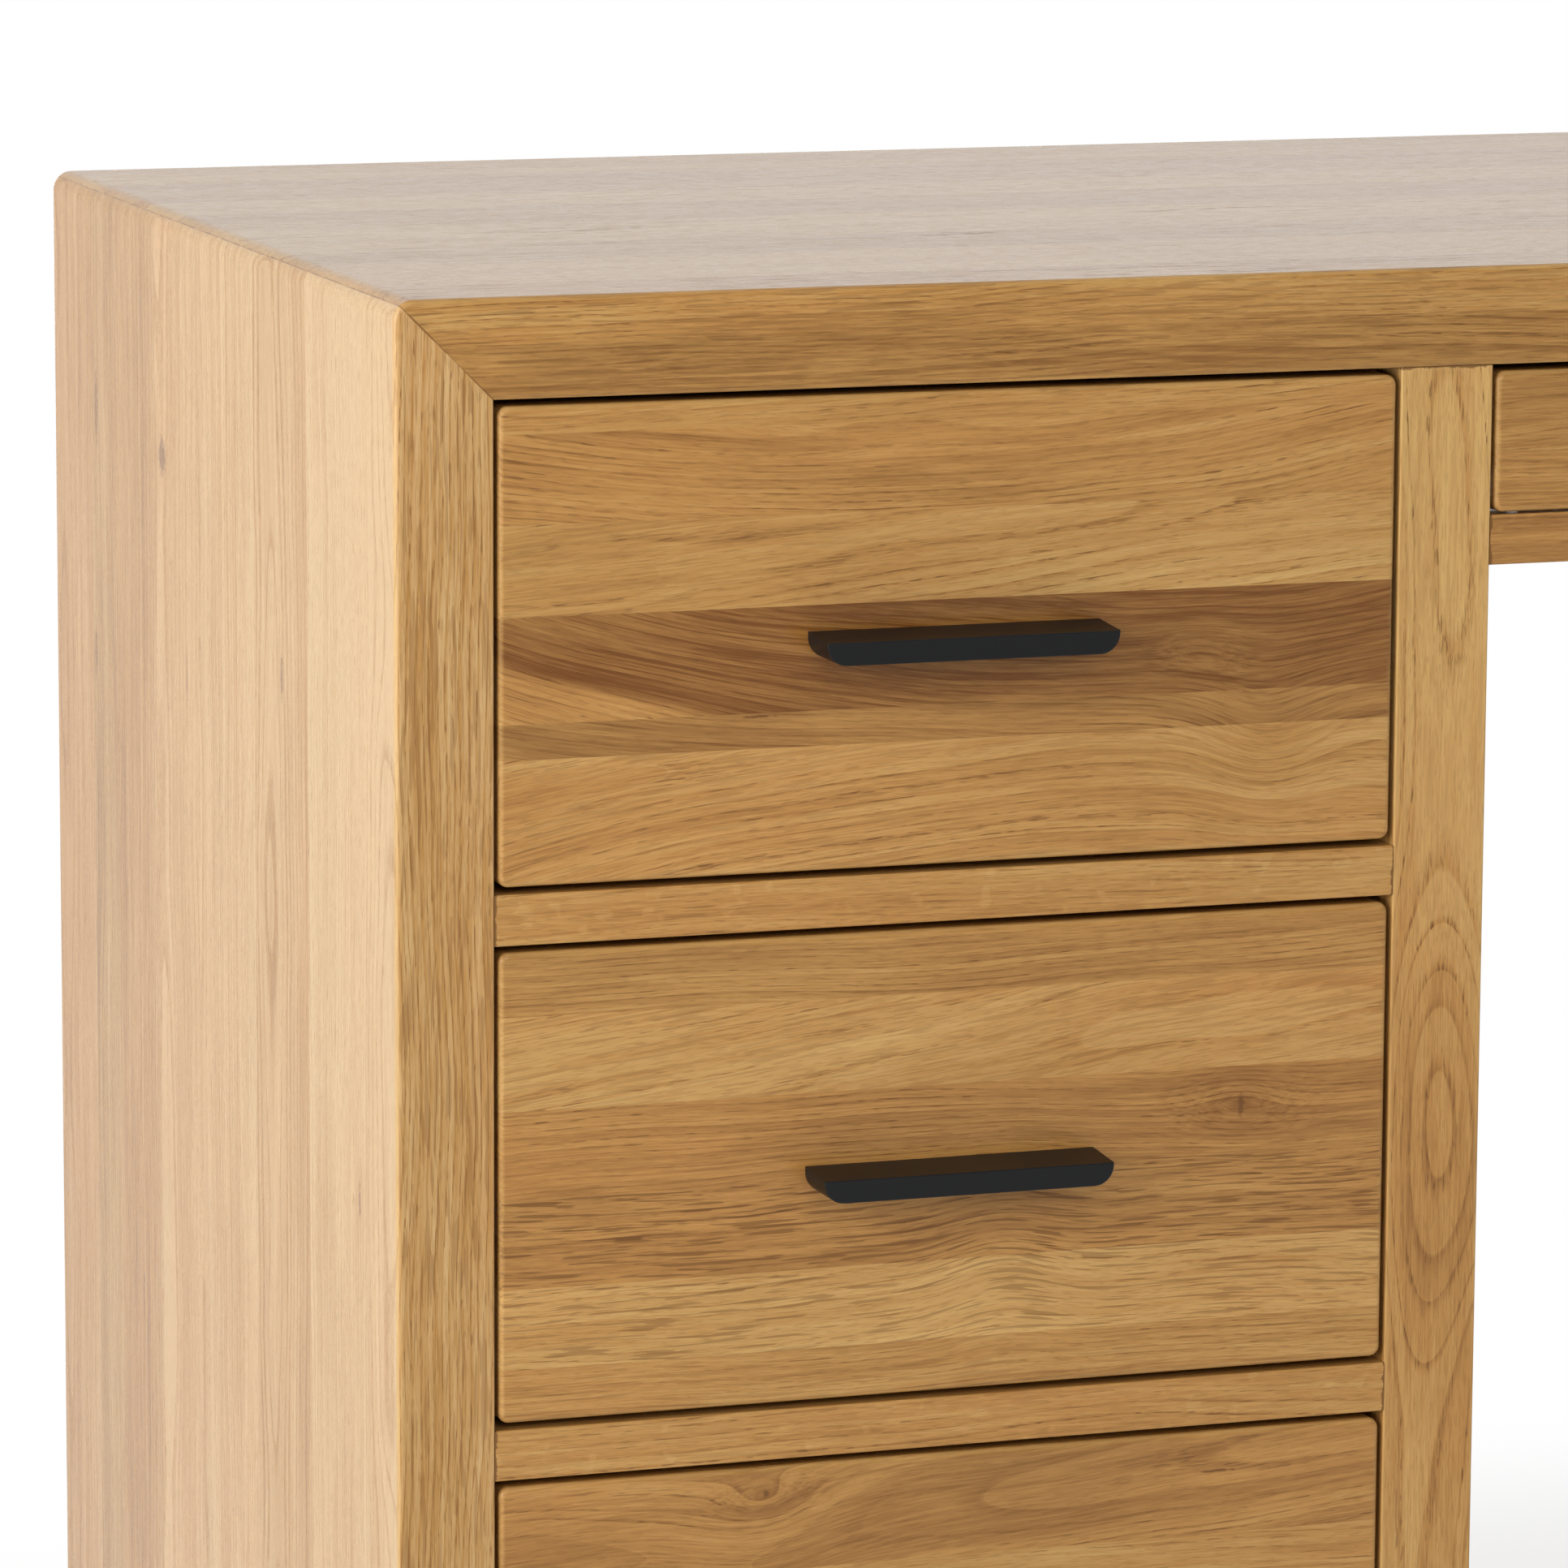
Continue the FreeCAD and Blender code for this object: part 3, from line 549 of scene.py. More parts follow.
@built_once
def oak_stave(name):
    """Growth rings, pores, flecks and fibre of a stave whose grain runs along its first measure."""
    grey = (0.5, 0.5, 0.5, 1.0)
    tree, given, out = new_group(name, [
        ("Along", NUMBER, 0.0), ("Across", NUMBER, 0.0), ("Depth", NUMBER, 0.0), ("Seed", NUMBER, 0.0),
        ("Tone", NUMBER, 0.5), ("Centre Across", NUMBER, 0.05), ("Centre Depth", NUMBER, 0.03),
        ("Slope", NUMBER, 0.0), ("Ring Width", NUMBER, 0.003), ("Bow Across", NUMBER, 0.0),
        ("Bow Depth", NUMBER, 0.0), ("Bow Length", NUMBER, 9.0), ("Peak", NUMBER, 0.0),
        ("Follow", NUMBER, 1.0), ("Wander", NUMBER, 0.006), ("Fleck", NUMBER, 0.0), ("Ray", NUMBER, 0.0),
        ("Clear", NUMBER, 0.0), ("Heart", NUMBER, 0.0), ("Heart At", NUMBER, 0.0),
        ("Contrast", NUMBER, 1.0), ("Brown", COLOUR, grey), ("Golden", COLOUR, grey),
        ("Pale", COLOUR, grey), ("Pore", COLOUR, grey),
    ], [("Colour", COLOUR), ("Roughness", NUMBER), ("Height", NUMBER)])
    along, across, depth, seed = given["Along"], given["Across"], given["Depth"], given["Seed"]
    shift = put(tree, "ShaderNodeVectorMath", {0: SEED_SHIFT, "Scale": seed}, operation="SCALE").outputs[0]
    place = join(tree, along, across, depth)

    # Rings round the tree's centre, which sways, leans and bows along the stave
    slow = mottle(tree, place, SWAY_SPOTS, shift)["Color"]
    slow = put(tree, "ShaderNodeSeparateColor", {0: slow}).outputs
    sway = times(tree, centred(tree, slow[0]), given["Wander"])
    heave = times(tree, centred(tree, slow[1]), given["Wander"])
    run = less(tree, along, given["Peak"])
    reach = calc(tree, "DIVIDE", run, given["Bow Length"])
    levelled = less(tree, 1.0, falloff(tree, square(tree, reach)))
    run_squared = times(tree, square(tree, given["Bow Length"]), levelled)
    swayed = times_plus(tree, sway, SWAY_ACROSS, across)
    leaning = times_plus(tree, run, given["Slope"], swayed)
    side = times_plus(tree, run_squared, given["Bow Across"], leaning)
    side = less(tree, side, given["Centre Across"])
    inward = times_plus(tree, heave, SWAY_INWARD, plus(tree, depth, given["Centre Depth"]))
    inward = times_plus(tree, run_squared, given["Bow Depth"], inward)
    radius = distance(tree, side, inward)
    uneven = put(tree, "ShaderNodeTexNoise", {
        "W": times_plus(tree, radius, RING_SPOTS, times(tree, seed, RING_SEED)),
        "Scale": 1.0, "Detail": 1.0}, noise_dimensions="1D").outputs[0]
    rings = times_plus(tree, uneven, RING_UNEVEN, calc(tree, "DIVIDE", radius, given["Ring Width"]))
    season = calc(tree, "FRACT", rings)
    year = chance(tree, times_plus(tree, seed, YEAR_SEED, calc(tree, "FLOOR", rings)))
    early = times(tree, ease(tree, season, *EARLY_RISE), ease(tree, season, *EARLY_FALL))
    early = times(tree, early, times_plus(tree, year, *EARLY_BY_YEAR))
    patchy = ease(tree, mottle(tree, place, PATCH_SPOTS, shift)[0], *PATCH_STEP)
    early = times(tree, early, calc(tree, "MAXIMUM", patchy, given["Clear"]))

    # Pores, flecks and fibres lie along the grain, and follow its bow where they are told to
    fibre_bow = times(tree, given["Bow Across"], given["Follow"])
    fibre_side = times_plus(tree, run_squared, fibre_bow, leaning)
    bent = join(tree, along, fibre_side, depth)
    pores = ease(tree, mottle(tree, bent, PORE_SPOTS, shift, detail=1.0)[0], *PORE_STEP)
    pores = times(tree, pores, times_plus(tree, early, *PORE_BY_EARLY))
    flecks = ease(tree, mottle(tree, bent, FLECK_SPOTS, shift, detail=1.0)[0], *FLECK_STEP)
    flecks = times(tree, flecks, times_plus(tree, early, *FLECK_BY_EARLY))
    marks = calc(tree, "MAXIMUM", pores, times(tree, flecks, given["Fleck"]))
    fibre = mottle(tree, bent, FIBRE_SPOTS, shift, roughness=0.6)[0]
    streak = mottle(tree, bent, STREAK_SPOTS, shift, detail=3.0, roughness=0.6)[0]
    rays = ease(tree, mottle(tree, bent, RAY_SPOTS, shift, detail=1.0)[0], *RAY_STEP)
    cloud = mottle(tree, place, CLOUD_SPOTS, shift)[0]

    # The marks together move the tone from brown through golden to pale
    tone = times(tree, centred(tree, year), YEAR_TONE)
    for mark, share in ((cloud, CLOUD_TONE), (fibre, FIBRE_TONE), (streak, STREAK_TONE)):
        tone = times_plus(tree, centred(tree, mark), share, tone)
    tone = times_plus(tree, early, EARLY_TONE, tone)
    tone = times_plus(tree, rays, times(tree, given["Ray"], RAY_TONE), tone)
    heart = ease(tree, less(tree, radius, given["Heart At"]), -HEART_BLUR, HEART_BLUR)
    tone = times_plus(tree, heart, given["Heart"], times(tree, tone, given["Contrast"]))
    tone = plus(tree, tone, given["Tone"])
    wood = blend(tree, times(tree, tone, 2.0, clamp=True), given["Brown"], given["Golden"])
    wood = blend(tree, times_plus(tree, tone, 2.0, -1.0, clamp=True), wood, given["Pale"])
    tint = chance(tree, times(tree, seed, CAST_SEED))
    tint = times_plus(tree, tint, *CAST_BY_STAVE)
    drift = centred(tree, mottle(tree, place, CAST_SPOTS, shift)["Color"])
    tint = times_plus(tree, drift, CAST_DRIFT, tint, clamp=True)
    wood = blend(tree, 1.0, wood, blend(tree, tint, WARM_CAST, COOL_CAST), "MULTIPLY")
    strength = times(tree, given["Contrast"], PORE_STRENGTH)
    strength = times(tree, marks, strength, clamp=True)
    tree.links.new(blend(tree, strength, wood, given["Pore"]), out["Colour"])
    sheen = times_plus(tree, marks, MARK_SHEEN, times_plus(tree, fibre, *SHEEN_BY_FIBRE))
    tree.links.new(sheen, out["Roughness"])
    height = times_plus(tree, marks, -1.0, times(tree, fibre, FIBRE_HEIGHT))
    tree.links.new(times_plus(tree, early, EARLY_HEIGHT, height), out["Height"])


@built_once
def oak_knot(name):
    """Grain that swings round a knot: bends the measures across and into a board, masks core and shade."""
    tree, given, out = new_group(name, [
        ("Along", NUMBER, 0.0), ("Across", NUMBER, 0.0), ("Depth", NUMBER, 0.0),
        ("Knot Along", NUMBER, 0.0), ("Knot Across", NUMBER, 0.0), ("Reach", NUMBER, 0.015),
        ("Core", NUMBER, 0.003), ("Stretch", NUMBER, 1.0), ("Eye", NUMBER, 0.0), ("Dip", NUMBER, 0.0),
        ("Shade", NUMBER, 0.0),
    ], [("Across", NUMBER), ("Depth", NUMBER), ("Core", NUMBER), ("Shade", NUMBER)])
    off_along = less(tree, given["Along"], given["Knot Along"])
    off_across = less(tree, given["Across"], given["Knot Across"])
    far = calc(tree, "DIVIDE", off_along, times(tree, given["Reach"], KNOT_LENGTH))
    up = calc(tree, "DIVIDE", off_across, given["Reach"])
    pull = falloff(tree, times_plus(tree, far, far, square(tree, up)))
    round_it = times(tree, pull, given["Eye"])
    squeeze = times(tree, times(tree, off_across, round_it), KNOT_SQUEEZE)
    wide = falloff(tree, times_plus(tree, square(tree, up), DIP_SHARPNESS, square(tree, far)))
    moved = times_plus(tree, wide, given["Dip"], squeeze)
    tree.links.new(plus(tree, given["Across"], moved), out["Across"])
    lift = times(tree, times(tree, round_it, given["Reach"]), KNOT_LIFT)
    tree.links.new(plus(tree, given["Depth"], lift), out["Depth"])
    tree.links.new(times(tree, pull, given["Shade"]), out["Shade"])
    ragged = centred(tree, mottle(tree, join(tree, off_along, off_across), KNOT_SPOTS)[0])
    ragged = times(tree, ragged, times(tree, given["Core"], CORE_RAGGED))
    away = distance(tree, calc(tree, "DIVIDE", off_along, given["Stretch"]), off_across)
    edge = times(tree, given["Core"], CORE_INSIDE)
    tree.links.new(ease(tree, plus(tree, away, ragged), given["Core"], edge), out["Core"])


@built_once
def worn_edge(name):
    """Mask of the edges of a square piece, broken up so that it looks handled; it paints both edge wear and
    highlight.
    """
    tree, given, out = new_group(name, [
        ("Place", PLACE, ORIGIN), ("Low", PLACE, ORIGIN), ("High", PLACE, UNIT), ("Width", NUMBER, 0.003),
    ], [("Wear And Highlight", NUMBER)])
    low = vector_calc(tree, "SUBTRACT", given["Place"], given["Low"])
    high = vector_calc(tree, "SUBTRACT", given["High"], given["Place"])
    x, y, z = split(tree, vector_calc(tree, "MINIMUM", low, high))
    second = calc(tree, "MINIMUM", calc(tree, "MAXIMUM", x, y), z)
    second = calc(tree, "MAXIMUM", calc(tree, "MINIMUM", x, y), second)
    patchy = mottle(tree, given["Place"], WEAR_AND_HIGHLIGHT_SPOTS, detail=3.0)[0]
    width = times(tree, given["Width"], times_plus(tree, patchy, *WEAR_AND_HIGHLIGHT_BY_PATCH))
    tree.links.new(ease(tree, calc(tree, "DIVIDE", second, width), *WEAR_AND_HIGHLIGHT_STEP), out["Wear And Highlight"])


@built_once
def mitre_seam(name):
    """Thin broken glue line where the desktop's ends meet the end panels at 45 degrees."""
    tree, given, out = new_group(name, [
        ("Place", PLACE, ORIGIN), ("Half Width", NUMBER, 0.8), ("Top", NUMBER, 0.77),
        ("Line", NUMBER, 0.0004),
    ], [("Seam", NUMBER)])
    x, _, z = split(tree, given["Place"])
    inset = less(tree, given["Half Width"], calc(tree, "ABSOLUTE", x))
    drop = less(tree, given["Top"], z)
    off = calc(tree, "ABSOLUTE", less(tree, inset, drop))
    broken = mottle(tree, given["Place"], SEAM_SPOTS, detail=3.0, roughness=0.7)[0]
    line = times(tree, given["Line"], ease(tree, broken, *SEAM_STEP))
    tree.links.new(ease(tree, off, line, times(tree, line, LINE_INSIDE)), out["Seam"])


@built_once
def joint_line(name):
    """Dark broken line where one board butts against another."""
    tree, given, out = new_group(name, [
        ("Place", PLACE, ORIGIN), ("Off", NUMBER, 0.0), ("Width", NUMBER, 0.0011),
    ], [("Line", NUMBER)])
    broken = mottle(tree, given["Place"], JOINT_SPOTS, detail=3.0, roughness=0.7)[0]
    width = times(tree, given["Width"], ease(tree, broken, *JOINT_STEP))
    off = calc(tree, "ABSOLUTE", given["Off"])
    tree.links.new(ease(tree, off, width, times(tree, width, LINE_INSIDE)), out["Line"])


@built_once
def box_dovetails(name):
    """A drawer box's boards: masks the back board outside the sides' tails, and the line between them."""
    tree, given, out = new_group(name, [
        ("Place", PLACE, ORIGIN), ("Low", PLACE, ORIGIN), ("High", PLACE, UNIT),
        ("Pitch", NUMBER, TAIL_PITCH), ("Board", NUMBER, BOX_BOARD), ("Foot", NUMBER, TAIL_FOOT),
        ("Pin", NUMBER, PIN_WIDTH), ("Flare", NUMBER, TAIL_FLARE), ("Line Edge", NUMBER, 0.0004),
        ("Line Core", NUMBER, 0.0001),
    ], [("Back", NUMBER), ("Line", NUMBER)])
    from_left, _, from_floor = split(tree, vector_calc(tree, "SUBTRACT", given["Place"], given["Low"]))
    from_right, from_rear, _ = split(tree, vector_calc(tree, "SUBTRACT", given["High"], given["Place"]))
    into = less(tree, given["Board"], from_rear)
    behind = calc(tree, "GREATER_THAN", into, 0.0)
    above = less(tree, from_floor, given["Foot"])
    row = calc(tree, "FRACT", calc(tree, "DIVIDE", above, given["Pitch"]))
    off = times(tree, calc(tree, "ABSOLUTE", centred(tree, row)), given["Pitch"])
    widest = times(tree, less(tree, given["Pitch"], given["Pin"]), 0.5)
    taper = times(tree, calc(tree, "DIVIDE", from_rear, given["Board"]), given["Flare"])
    half = less(tree, widest, taper)
    corner = calc(tree, "LESS_THAN", calc(tree, "MINIMUM", from_left, from_right), given["Board"])
    tail = times(tree, calc(tree, "LESS_THAN", off, half), corner)
    pin = less(tree, 1.0, tail)
    raised = calc(tree, "GREATER_THAN", above, 0.0)
    tree.links.new(times(tree, times(tree, behind, raised), pin), out["Back"])
    slant = calc(tree, "ABSOLUTE", less(tree, off, half))
    slant = times(tree, ease(tree, slant, given["Line Edge"], given["Line Core"]), behind)
    shoulder = ease(tree, calc(tree, "ABSOLUTE", into), given["Line Edge"], given["Line Core"])
    shoulder = times(tree, shoulder, pin)
    line = times(tree, calc(tree, "MAXIMUM", slant, shoulder), corner)
    tree.links.new(times(tree, line, raised), out["Line"])


def new_material(name):
    """A node material with a bare shader; gives the material, its tree and the shader."""
    material = bpy.data.materials.new(name)
    material.use_nodes = True
    tree = material.node_tree
    tree.nodes.clear()
    shader = tree.nodes.new("ShaderNodeBsdfPrincipled")
    end = tree.nodes.new("ShaderNodeOutputMaterial")
    tree.links.new(shader.outputs[0], end.inputs[0])
    return material, tree, shader


def finish(tree, shader, colour, roughness):
    """Wire a surface's colour and roughness to its shader."""
    tree.links.new(colour, shader.inputs["Base Color"])
    tree.links.new(roughness, shader.inputs["Roughness"])


def relief(tree, shader, height, strength, depth):
    """Wire a surface's fine relief to its shader."""
    bump = put(tree, "ShaderNodeBump", {"Height": height, "Strength": strength, "Distance": depth})
    tree.links.new(bump.outputs[0], shader.inputs["Normal"])


def scaled(colour, factor):
    """A colour made paler or darker."""
    return tuple(min(1.0, part * factor) for part in tuple(colour)[:3]) + (1.0,)


def stave_ramp(tree, share, starts, rows):
    """Four measures of each stave as steps along a board; gives their sockets."""
    node = put(tree, "ShaderNodeValToRGB", {0: share})
    node.color_ramp.interpolation = "CONSTANT"
    steps = node.color_ramp.elements
    if len(rows) == 1:
        steps.remove(steps[1])
    for index, (start, row) in enumerate(zip(starts, rows)):
        step = steps[index] if index < 2 else steps.new(start)
        step.position = start
        step.color = row
    parts = put(tree, "ShaderNodeSeparateColor", {0: node.outputs["Color"]}).outputs
    return parts[0], parts[1], parts[2], node.outputs["Alpha"]


def stave_values(tree, share, staves, bow):
    """The staves' measures by their names in the stave group, and where each stave's middle lies."""
    whole = sum(strip.width for strip in staves)
    ends = [sum(strip.width for strip in staves[:count]) for count in range(1, len(staves) + 1)]
    starts = [(end - strip.width) / whole for end, strip in zip(ends, staves)]
    middles = [(end - strip.width / 2) / whole for end, strip in zip(ends, staves)]
    tone, seed, middle, fleck = stave_ramp(tree, share, starts, [
        (strip.tone, strip.seed, middle, strip.fleck) for strip, middle in zip(staves, middles)])
    across, depth, slope, ring = stave_ramp(tree, share, starts, [
        (strip.across * MM + RAMP_MIDDLE, strip.depth * MM + RAMP_MIDDLE,
         strip.slope + RAMP_MIDDLE, strip.ring * MM) for strip in staves])
    values = {
        "Tone": tone, "Seed": seed, "Fleck": fleck, "Ring Width": ring, "Slope": centred(tree, slope),
        "Centre Across": centred(tree, across), "Centre Depth": centred(tree, depth)}
    if any(strip.bow or strip.heart for strip in staves):
        bowed, peak, heart, heart_at = stave_ramp(tree, share, starts, [
            (strip.bow * BOW_SCALE + RAMP_MIDDLE, strip.peak * MM * PEAK_SCALE + RAMP_MIDDLE,
             strip.heart + RAMP_MIDDLE, strip.heart_at * MM) for strip in staves])
        values[bow] = times(tree, centred(tree, bowed), 1.0 / BOW_SCALE)
        values["Peak"] = times(tree, centred(tree, peak), 1.0 / PEAK_SCALE)
        values["Heart"] = centred(tree, heart)
        values["Heart At"] = heart_at
    return values, middle


def swing_round_knots(tree, knots_and_shades, along, across, depth):
    """Bend the measures across and into a board round its knots; gives them, the cores and the shade."""
    cores = 0.0
    shade = 0.0
    for mark in knots_and_shades:
        swing = use(tree, oak_knot(), {
            "Along": along, "Across": across, "Depth": depth, "Knot Along": mark.along * MM,
            "Knot Across": mark.across * MM, "Reach": mark.reach * MM, "Stretch": mark.stretch,
            "Core": max(mark.core, SMALLEST_CORE) * MM, "Eye": mark.eye, "Dip": mark.dip * MM,
            "Shade": mark.shade})
        across, depth = swing["Across"], swing["Depth"]
        cores = calc(tree, "MAXIMUM", swing["Core"], cores)
        shade = plus(tree, swing["Shade"], shade)
    return across, depth, cores, shade


def turn_at_tails(tree, place, along, depth, tails):
    """Turn the grain on a drawer box's back; gives the measures along and into it and the tails' line."""
    low, high, pitch = tails
    joints = use(tree, box_dovetails(), {"Place": place, "Low": low, "High": high, "Pitch": pitch})
    x, y, _ = split(tree, place)
    lengthwise = join(tree, along, depth)
    crosswise = join(tree, x, less(tree, y, high.y))
    turned = put(tree, "ShaderNodeMix", {0: joints["Back"], 4: lengthwise, 5: crosswise},
                 data_type="VECTOR")
    along, depth, _ = split(tree, turned.outputs[1])
    return along, depth, joints["Line"]


def oak_board(name, staves, axes, face, span, colours, pore_depth, knots_and_shades=(), contrast=1.0, wander=0.012,
              layer=None, bow="Bow Depth", bow_length=9.0, follow=1.0, ray=0.0, clear=0.0, wear=None,
              seam=False, joints=(), flip=1.0, edge_pore=None, tails=None):
    """Material of a glued board. axes names the axes along the grain, across the staves and into the
    board. face is where the board's depth starts, span is its reach across, and joints are where it butts
    along its grain. layer is how deep the upper of two layers goes, wear is how pale the edges are, partly
    from handled wear and partly as painted highlight, with the board's corners, edge_pore is the pores'
    colour on a browner front edge, and tails is a drawer box's corners and the pitch of its tails."""
    material, tree, shader = new_material(name)
    place = object_place(tree)
    parts = split(tree, place)
    along, across, depth = (parts["XYZ".index(axis)] for axis in axes)
    depth = times(tree, less(tree, depth, face), flip)
    if tails is not None:
        along, depth, tail_line = turn_at_tails(tree, place, along, depth, tails)
    low, high = span
    share = put(tree, "ShaderNodeMapRange", {0: across, 1: low, 2: high}).outputs[0]
    values, middle = stave_values(tree, share, staves, bow)
    tone, seed, fleck = values["Tone"], values["Seed"], values["Fleck"]
    pore = colours["Pore"]
    core_colour = pore
    if edge_pore is not None:
        front = ease(tree, across, low + EDGE_START, low + EDGE_FULL)
        tone = times_plus(tree, front, EDGE_TONE, tone)
        fleck = times_plus(tree, front, EDGE_FLECK, fleck)
        core_colour = edge_pore
        pore = blend(tree, front, pore, edge_pore)
    across, depth, cores, shade = swing_round_knots(tree, knots_and_shades, along, across, depth)
    # Knots' browner patches darken the tone, and so do broad patches: painted shade low on the left end
    # panel, and a darker patch low on the inner panels' front edges
    if knots_and_shades:
        tone = less(tree, tone, shade)
    if layer is not None:
        under = ease(tree, depth, layer - LAYER_BLUR, layer + LAYER_BLUR)
        tone = times_plus(tree, under, UNDER_LAYER_TONE, tone)
        seed = times_plus(tree, calc(tree, "GREATER_THAN", depth, layer), LAYER_SEED, seed)
    from_middle = less(tree, across, times_plus(tree, middle, high - low, low))
    wood = use(tree, oak_stave(), {
        **values, **colours, "Along": along, "Across": from_middle, "Depth": depth, "Seed": seed,
        "Tone": tone, "Fleck": fleck, "Pore": pore, "Wander": wander, "Contrast": contrast,
        "Bow Length": bow_length, "Follow": follow, "Ray": ray, "Clear": clear})

    colour = wood["Colour"]
    if knots_and_shades:
        colour = stain(tree, colour, cores, CORE_STRENGTH, core_colour)
    # Paler edges, partly handled wear and partly painted highlight along the rounded edges
    if wear is not None:
        amount, low_corner, high_corner = wear
        rubbed_and_highlit = use(tree, worn_edge(), {"Place": place, "Low": low_corner, "High": high_corner})
        colour = stain(tree, colour, rubbed_and_highlit["Wear And Highlight"], amount, colours["Pale"])
    if seam:
        glue = use(tree, mitre_seam(), {"Place": place, "Half Width": HALF_WIDTH, "Top": TOP})
        colour = stain(tree, colour, glue["Seam"], SEAM_STRENGTH, pore)
    if tails is not None:
        colour = stain(tree, colour, tail_line, TAIL_STRENGTH, pore)
    for end in joints:
        butt = use(tree, joint_line(), {"Place": place, "Off": less(tree, along, end)})
        colour = stain(tree, colour, butt["Line"], JOINT_STRENGTH, pore)
    finish(tree, shader, colour, wood["Roughness"])
    relief(tree, shader, wood["Height"], PORE_BUMP, pore_depth)
    shader.inputs["IOR"].default_value = LACQUER_IOR
    shader.inputs["Specular IOR Level"].default_value = LACQUER_GLOSS
    return material


def oak_colours(oak):
    """The oak's four colours by their names in the stave group."""
    return {
        "Brown": tuple(oak.brown), "Golden": tuple(oak.golden),
        "Pale": tuple(oak.pale), "Pore": tuple(oak.pore)}


def dress(node, material):
    """Give a node its finish."""
    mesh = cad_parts[node].data
    mesh.materials.clear()
    mesh.materials.append(material)


class DESK_OT_desktop(bpy.types.Operator):
    """Give the desktop its glued oak staves, two layers thick, with the mitre's glue line"""
    bl_idname = "desk.desktop"
    bl_label = "Desktop"

    def execute(self, context):
        oak = context.scene.desk_oak
        dress("desktop", oak_board(
            "desktop_oak", DESKTOP_STAVES, "XYZ", TOP, (FACE, BACK), oak_colours(oak), oak.pore_relief,
            layer=DESKTOP_LAYER, seam=True, flip=-1.0, wear=(oak.wear * BROAD_WEAR_AND_HIGHLIGHT, DESK_LOW, DESK_HIGH)))
        return {"FINISHED"}


class DESK_OT_end_panels(bpy.types.Operator):
    """Give both end panels upright staves, paler on their faces than on their front edges"""
    bl_idname = "desk.end_panels"
    bl_label = "End Panels"

    def execute(self, context):
        oak = context.scene.desk_oak
        colours = {**oak_colours(oak), "Pale": tuple(oak.blush), "Pore": tuple(oak.soft_pore)}
        mirrored = END_PANEL_STAVES[:1] + END_PANEL_STAVES[:0:-1]
        for side, face, flip, staves, knots_and_shades in (
                ("left", -HALF_WIDTH, 1.0, END_PANEL_STAVES, END_PANEL_KNOTS_AND_SHADE),
                ("right", HALF_WIDTH, -1.0, mirrored, ())):
            low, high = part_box(f"{side}_end_panel")
            dress(f"{side}_end_panel", oak_board(
                f"{side}_end_panel_oak", staves, "ZYX", face, (FACE, BACK), colours, oak.pore_relief,
                knots_and_shades=knots_and_shades, contrast=1.3, clear=1.1, seam=True, flip=flip, edge_pore=tuple(oak.edge_pore),
                wear=(oak.wear * BROAD_WEAR_AND_HIGHLIGHT, low, high)))
        return {"FINISHED"}


class DESK_OT_inner_panels(bpy.types.Operator):
    """Give both inner panels upright staves, with closed ovals in the front edge"""
    bl_idname = "desk.inner_panels"
    bl_label = "Inner Panels"

    def execute(self, context):
        oak = context.scene.desk_oak
        for side in ("left", "right"):
            low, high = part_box(f"{side}_inner_panel")
            face, flip = (low.x, 1.0) if side == "left" else (high.x, -1.0)
            dress(f"{side}_inner_panel", oak_board(
                f"{side}_inner_panel_oak", INNER_PANEL_STAVES, "ZYX", face, (FACE, BACK), oak_colours(oak),
                oak.pore_relief, knots_and_shades=INNER_PANEL_LOW_PATCH, bow="Bow Across", bow_length=0.09, follow=0.0,
                clear=1.2, joints=(high.z,), flip=flip, wear=(oak.wear, low, high)))
        return {"FINISHED"}


class DESK_OT_rails(bpy.types.Operator):
    """Give the rails and the back apron level grain"""
    bl_idname = "desk.rails"
    bl_label = "Rails and Apron"

    def execute(self, context):
        oak = context.scene.desk_oak
        for node in ("left_drawer_rails", "right_drawer_rails", "left_bottom_rail", "right_bottom_rail",
                     "centre_rail", "back_apron"):
            low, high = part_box(node)
            staves = CENTRE_RAIL_STAVES if node == "centre_rail" else RAIL_STAVES
            dress(node, oak_board(
                f"{node}_oak", staves, "XYZ", low.z, (low.y, high.y), oak_colours(oak), oak.pore_relief,
                ray=0.35, joints=(low.x, high.x)))
        return {"FINISHED"}


class DESK_OT_backs(bpy.types.Operator):
    """Give the back panels and pedestal floors their oak veneer"""
    bl_idname = "desk.backs"
    bl_label = "Backs and Floors"

    def execute(self, context):
        oak = context.scene.desk_oak
        for node in ("left_back_panel", "right_back_panel"):
            low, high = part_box(node)
            dress(node, oak_board(
                f"{node}_veneer", VENEER_STAVES, "ZXY", low.y, (low.x, high.x), oak_colours(oak),
                oak.pore_relief, contrast=1.25, clear=0.8))
        low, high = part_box("pedestal_floors")
        dress("pedestal_floors", oak_board(
            "pedestal_floors_veneer", VENEER_STAVES, "XYZ", low.z, (low.y, high.y), oak_colours(oak),
            oak.pore_relief, contrast=0.9))
        return {"FINISHED"}


class DESK_OT_drawer_fronts(bpy.types.Operator):
    """Give every drawer front its own run of staves and knots"""
    bl_idname = "desk.drawer_fronts"
    bl_label = "Drawer Fronts"

    def execute(self, context):
        oak = context.scene.desk_oak
        for drawer, staves in FRONT_STAVES.items():
            node = f"{drawer}_drawer_front"
            low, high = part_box(node)
            dress(node, oak_board(
                f"{drawer}_front_oak", tuple(reversed(staves)), "XZY", low.y, (low.z, high.z),
                oak_colours(oak), oak.pore_relief, knots_and_shades=FRONT_KNOTS.get(drawer, ()), bow="Bow Across",
                wear=(oak.wear, low, high)))
        return {"FINISHED"}


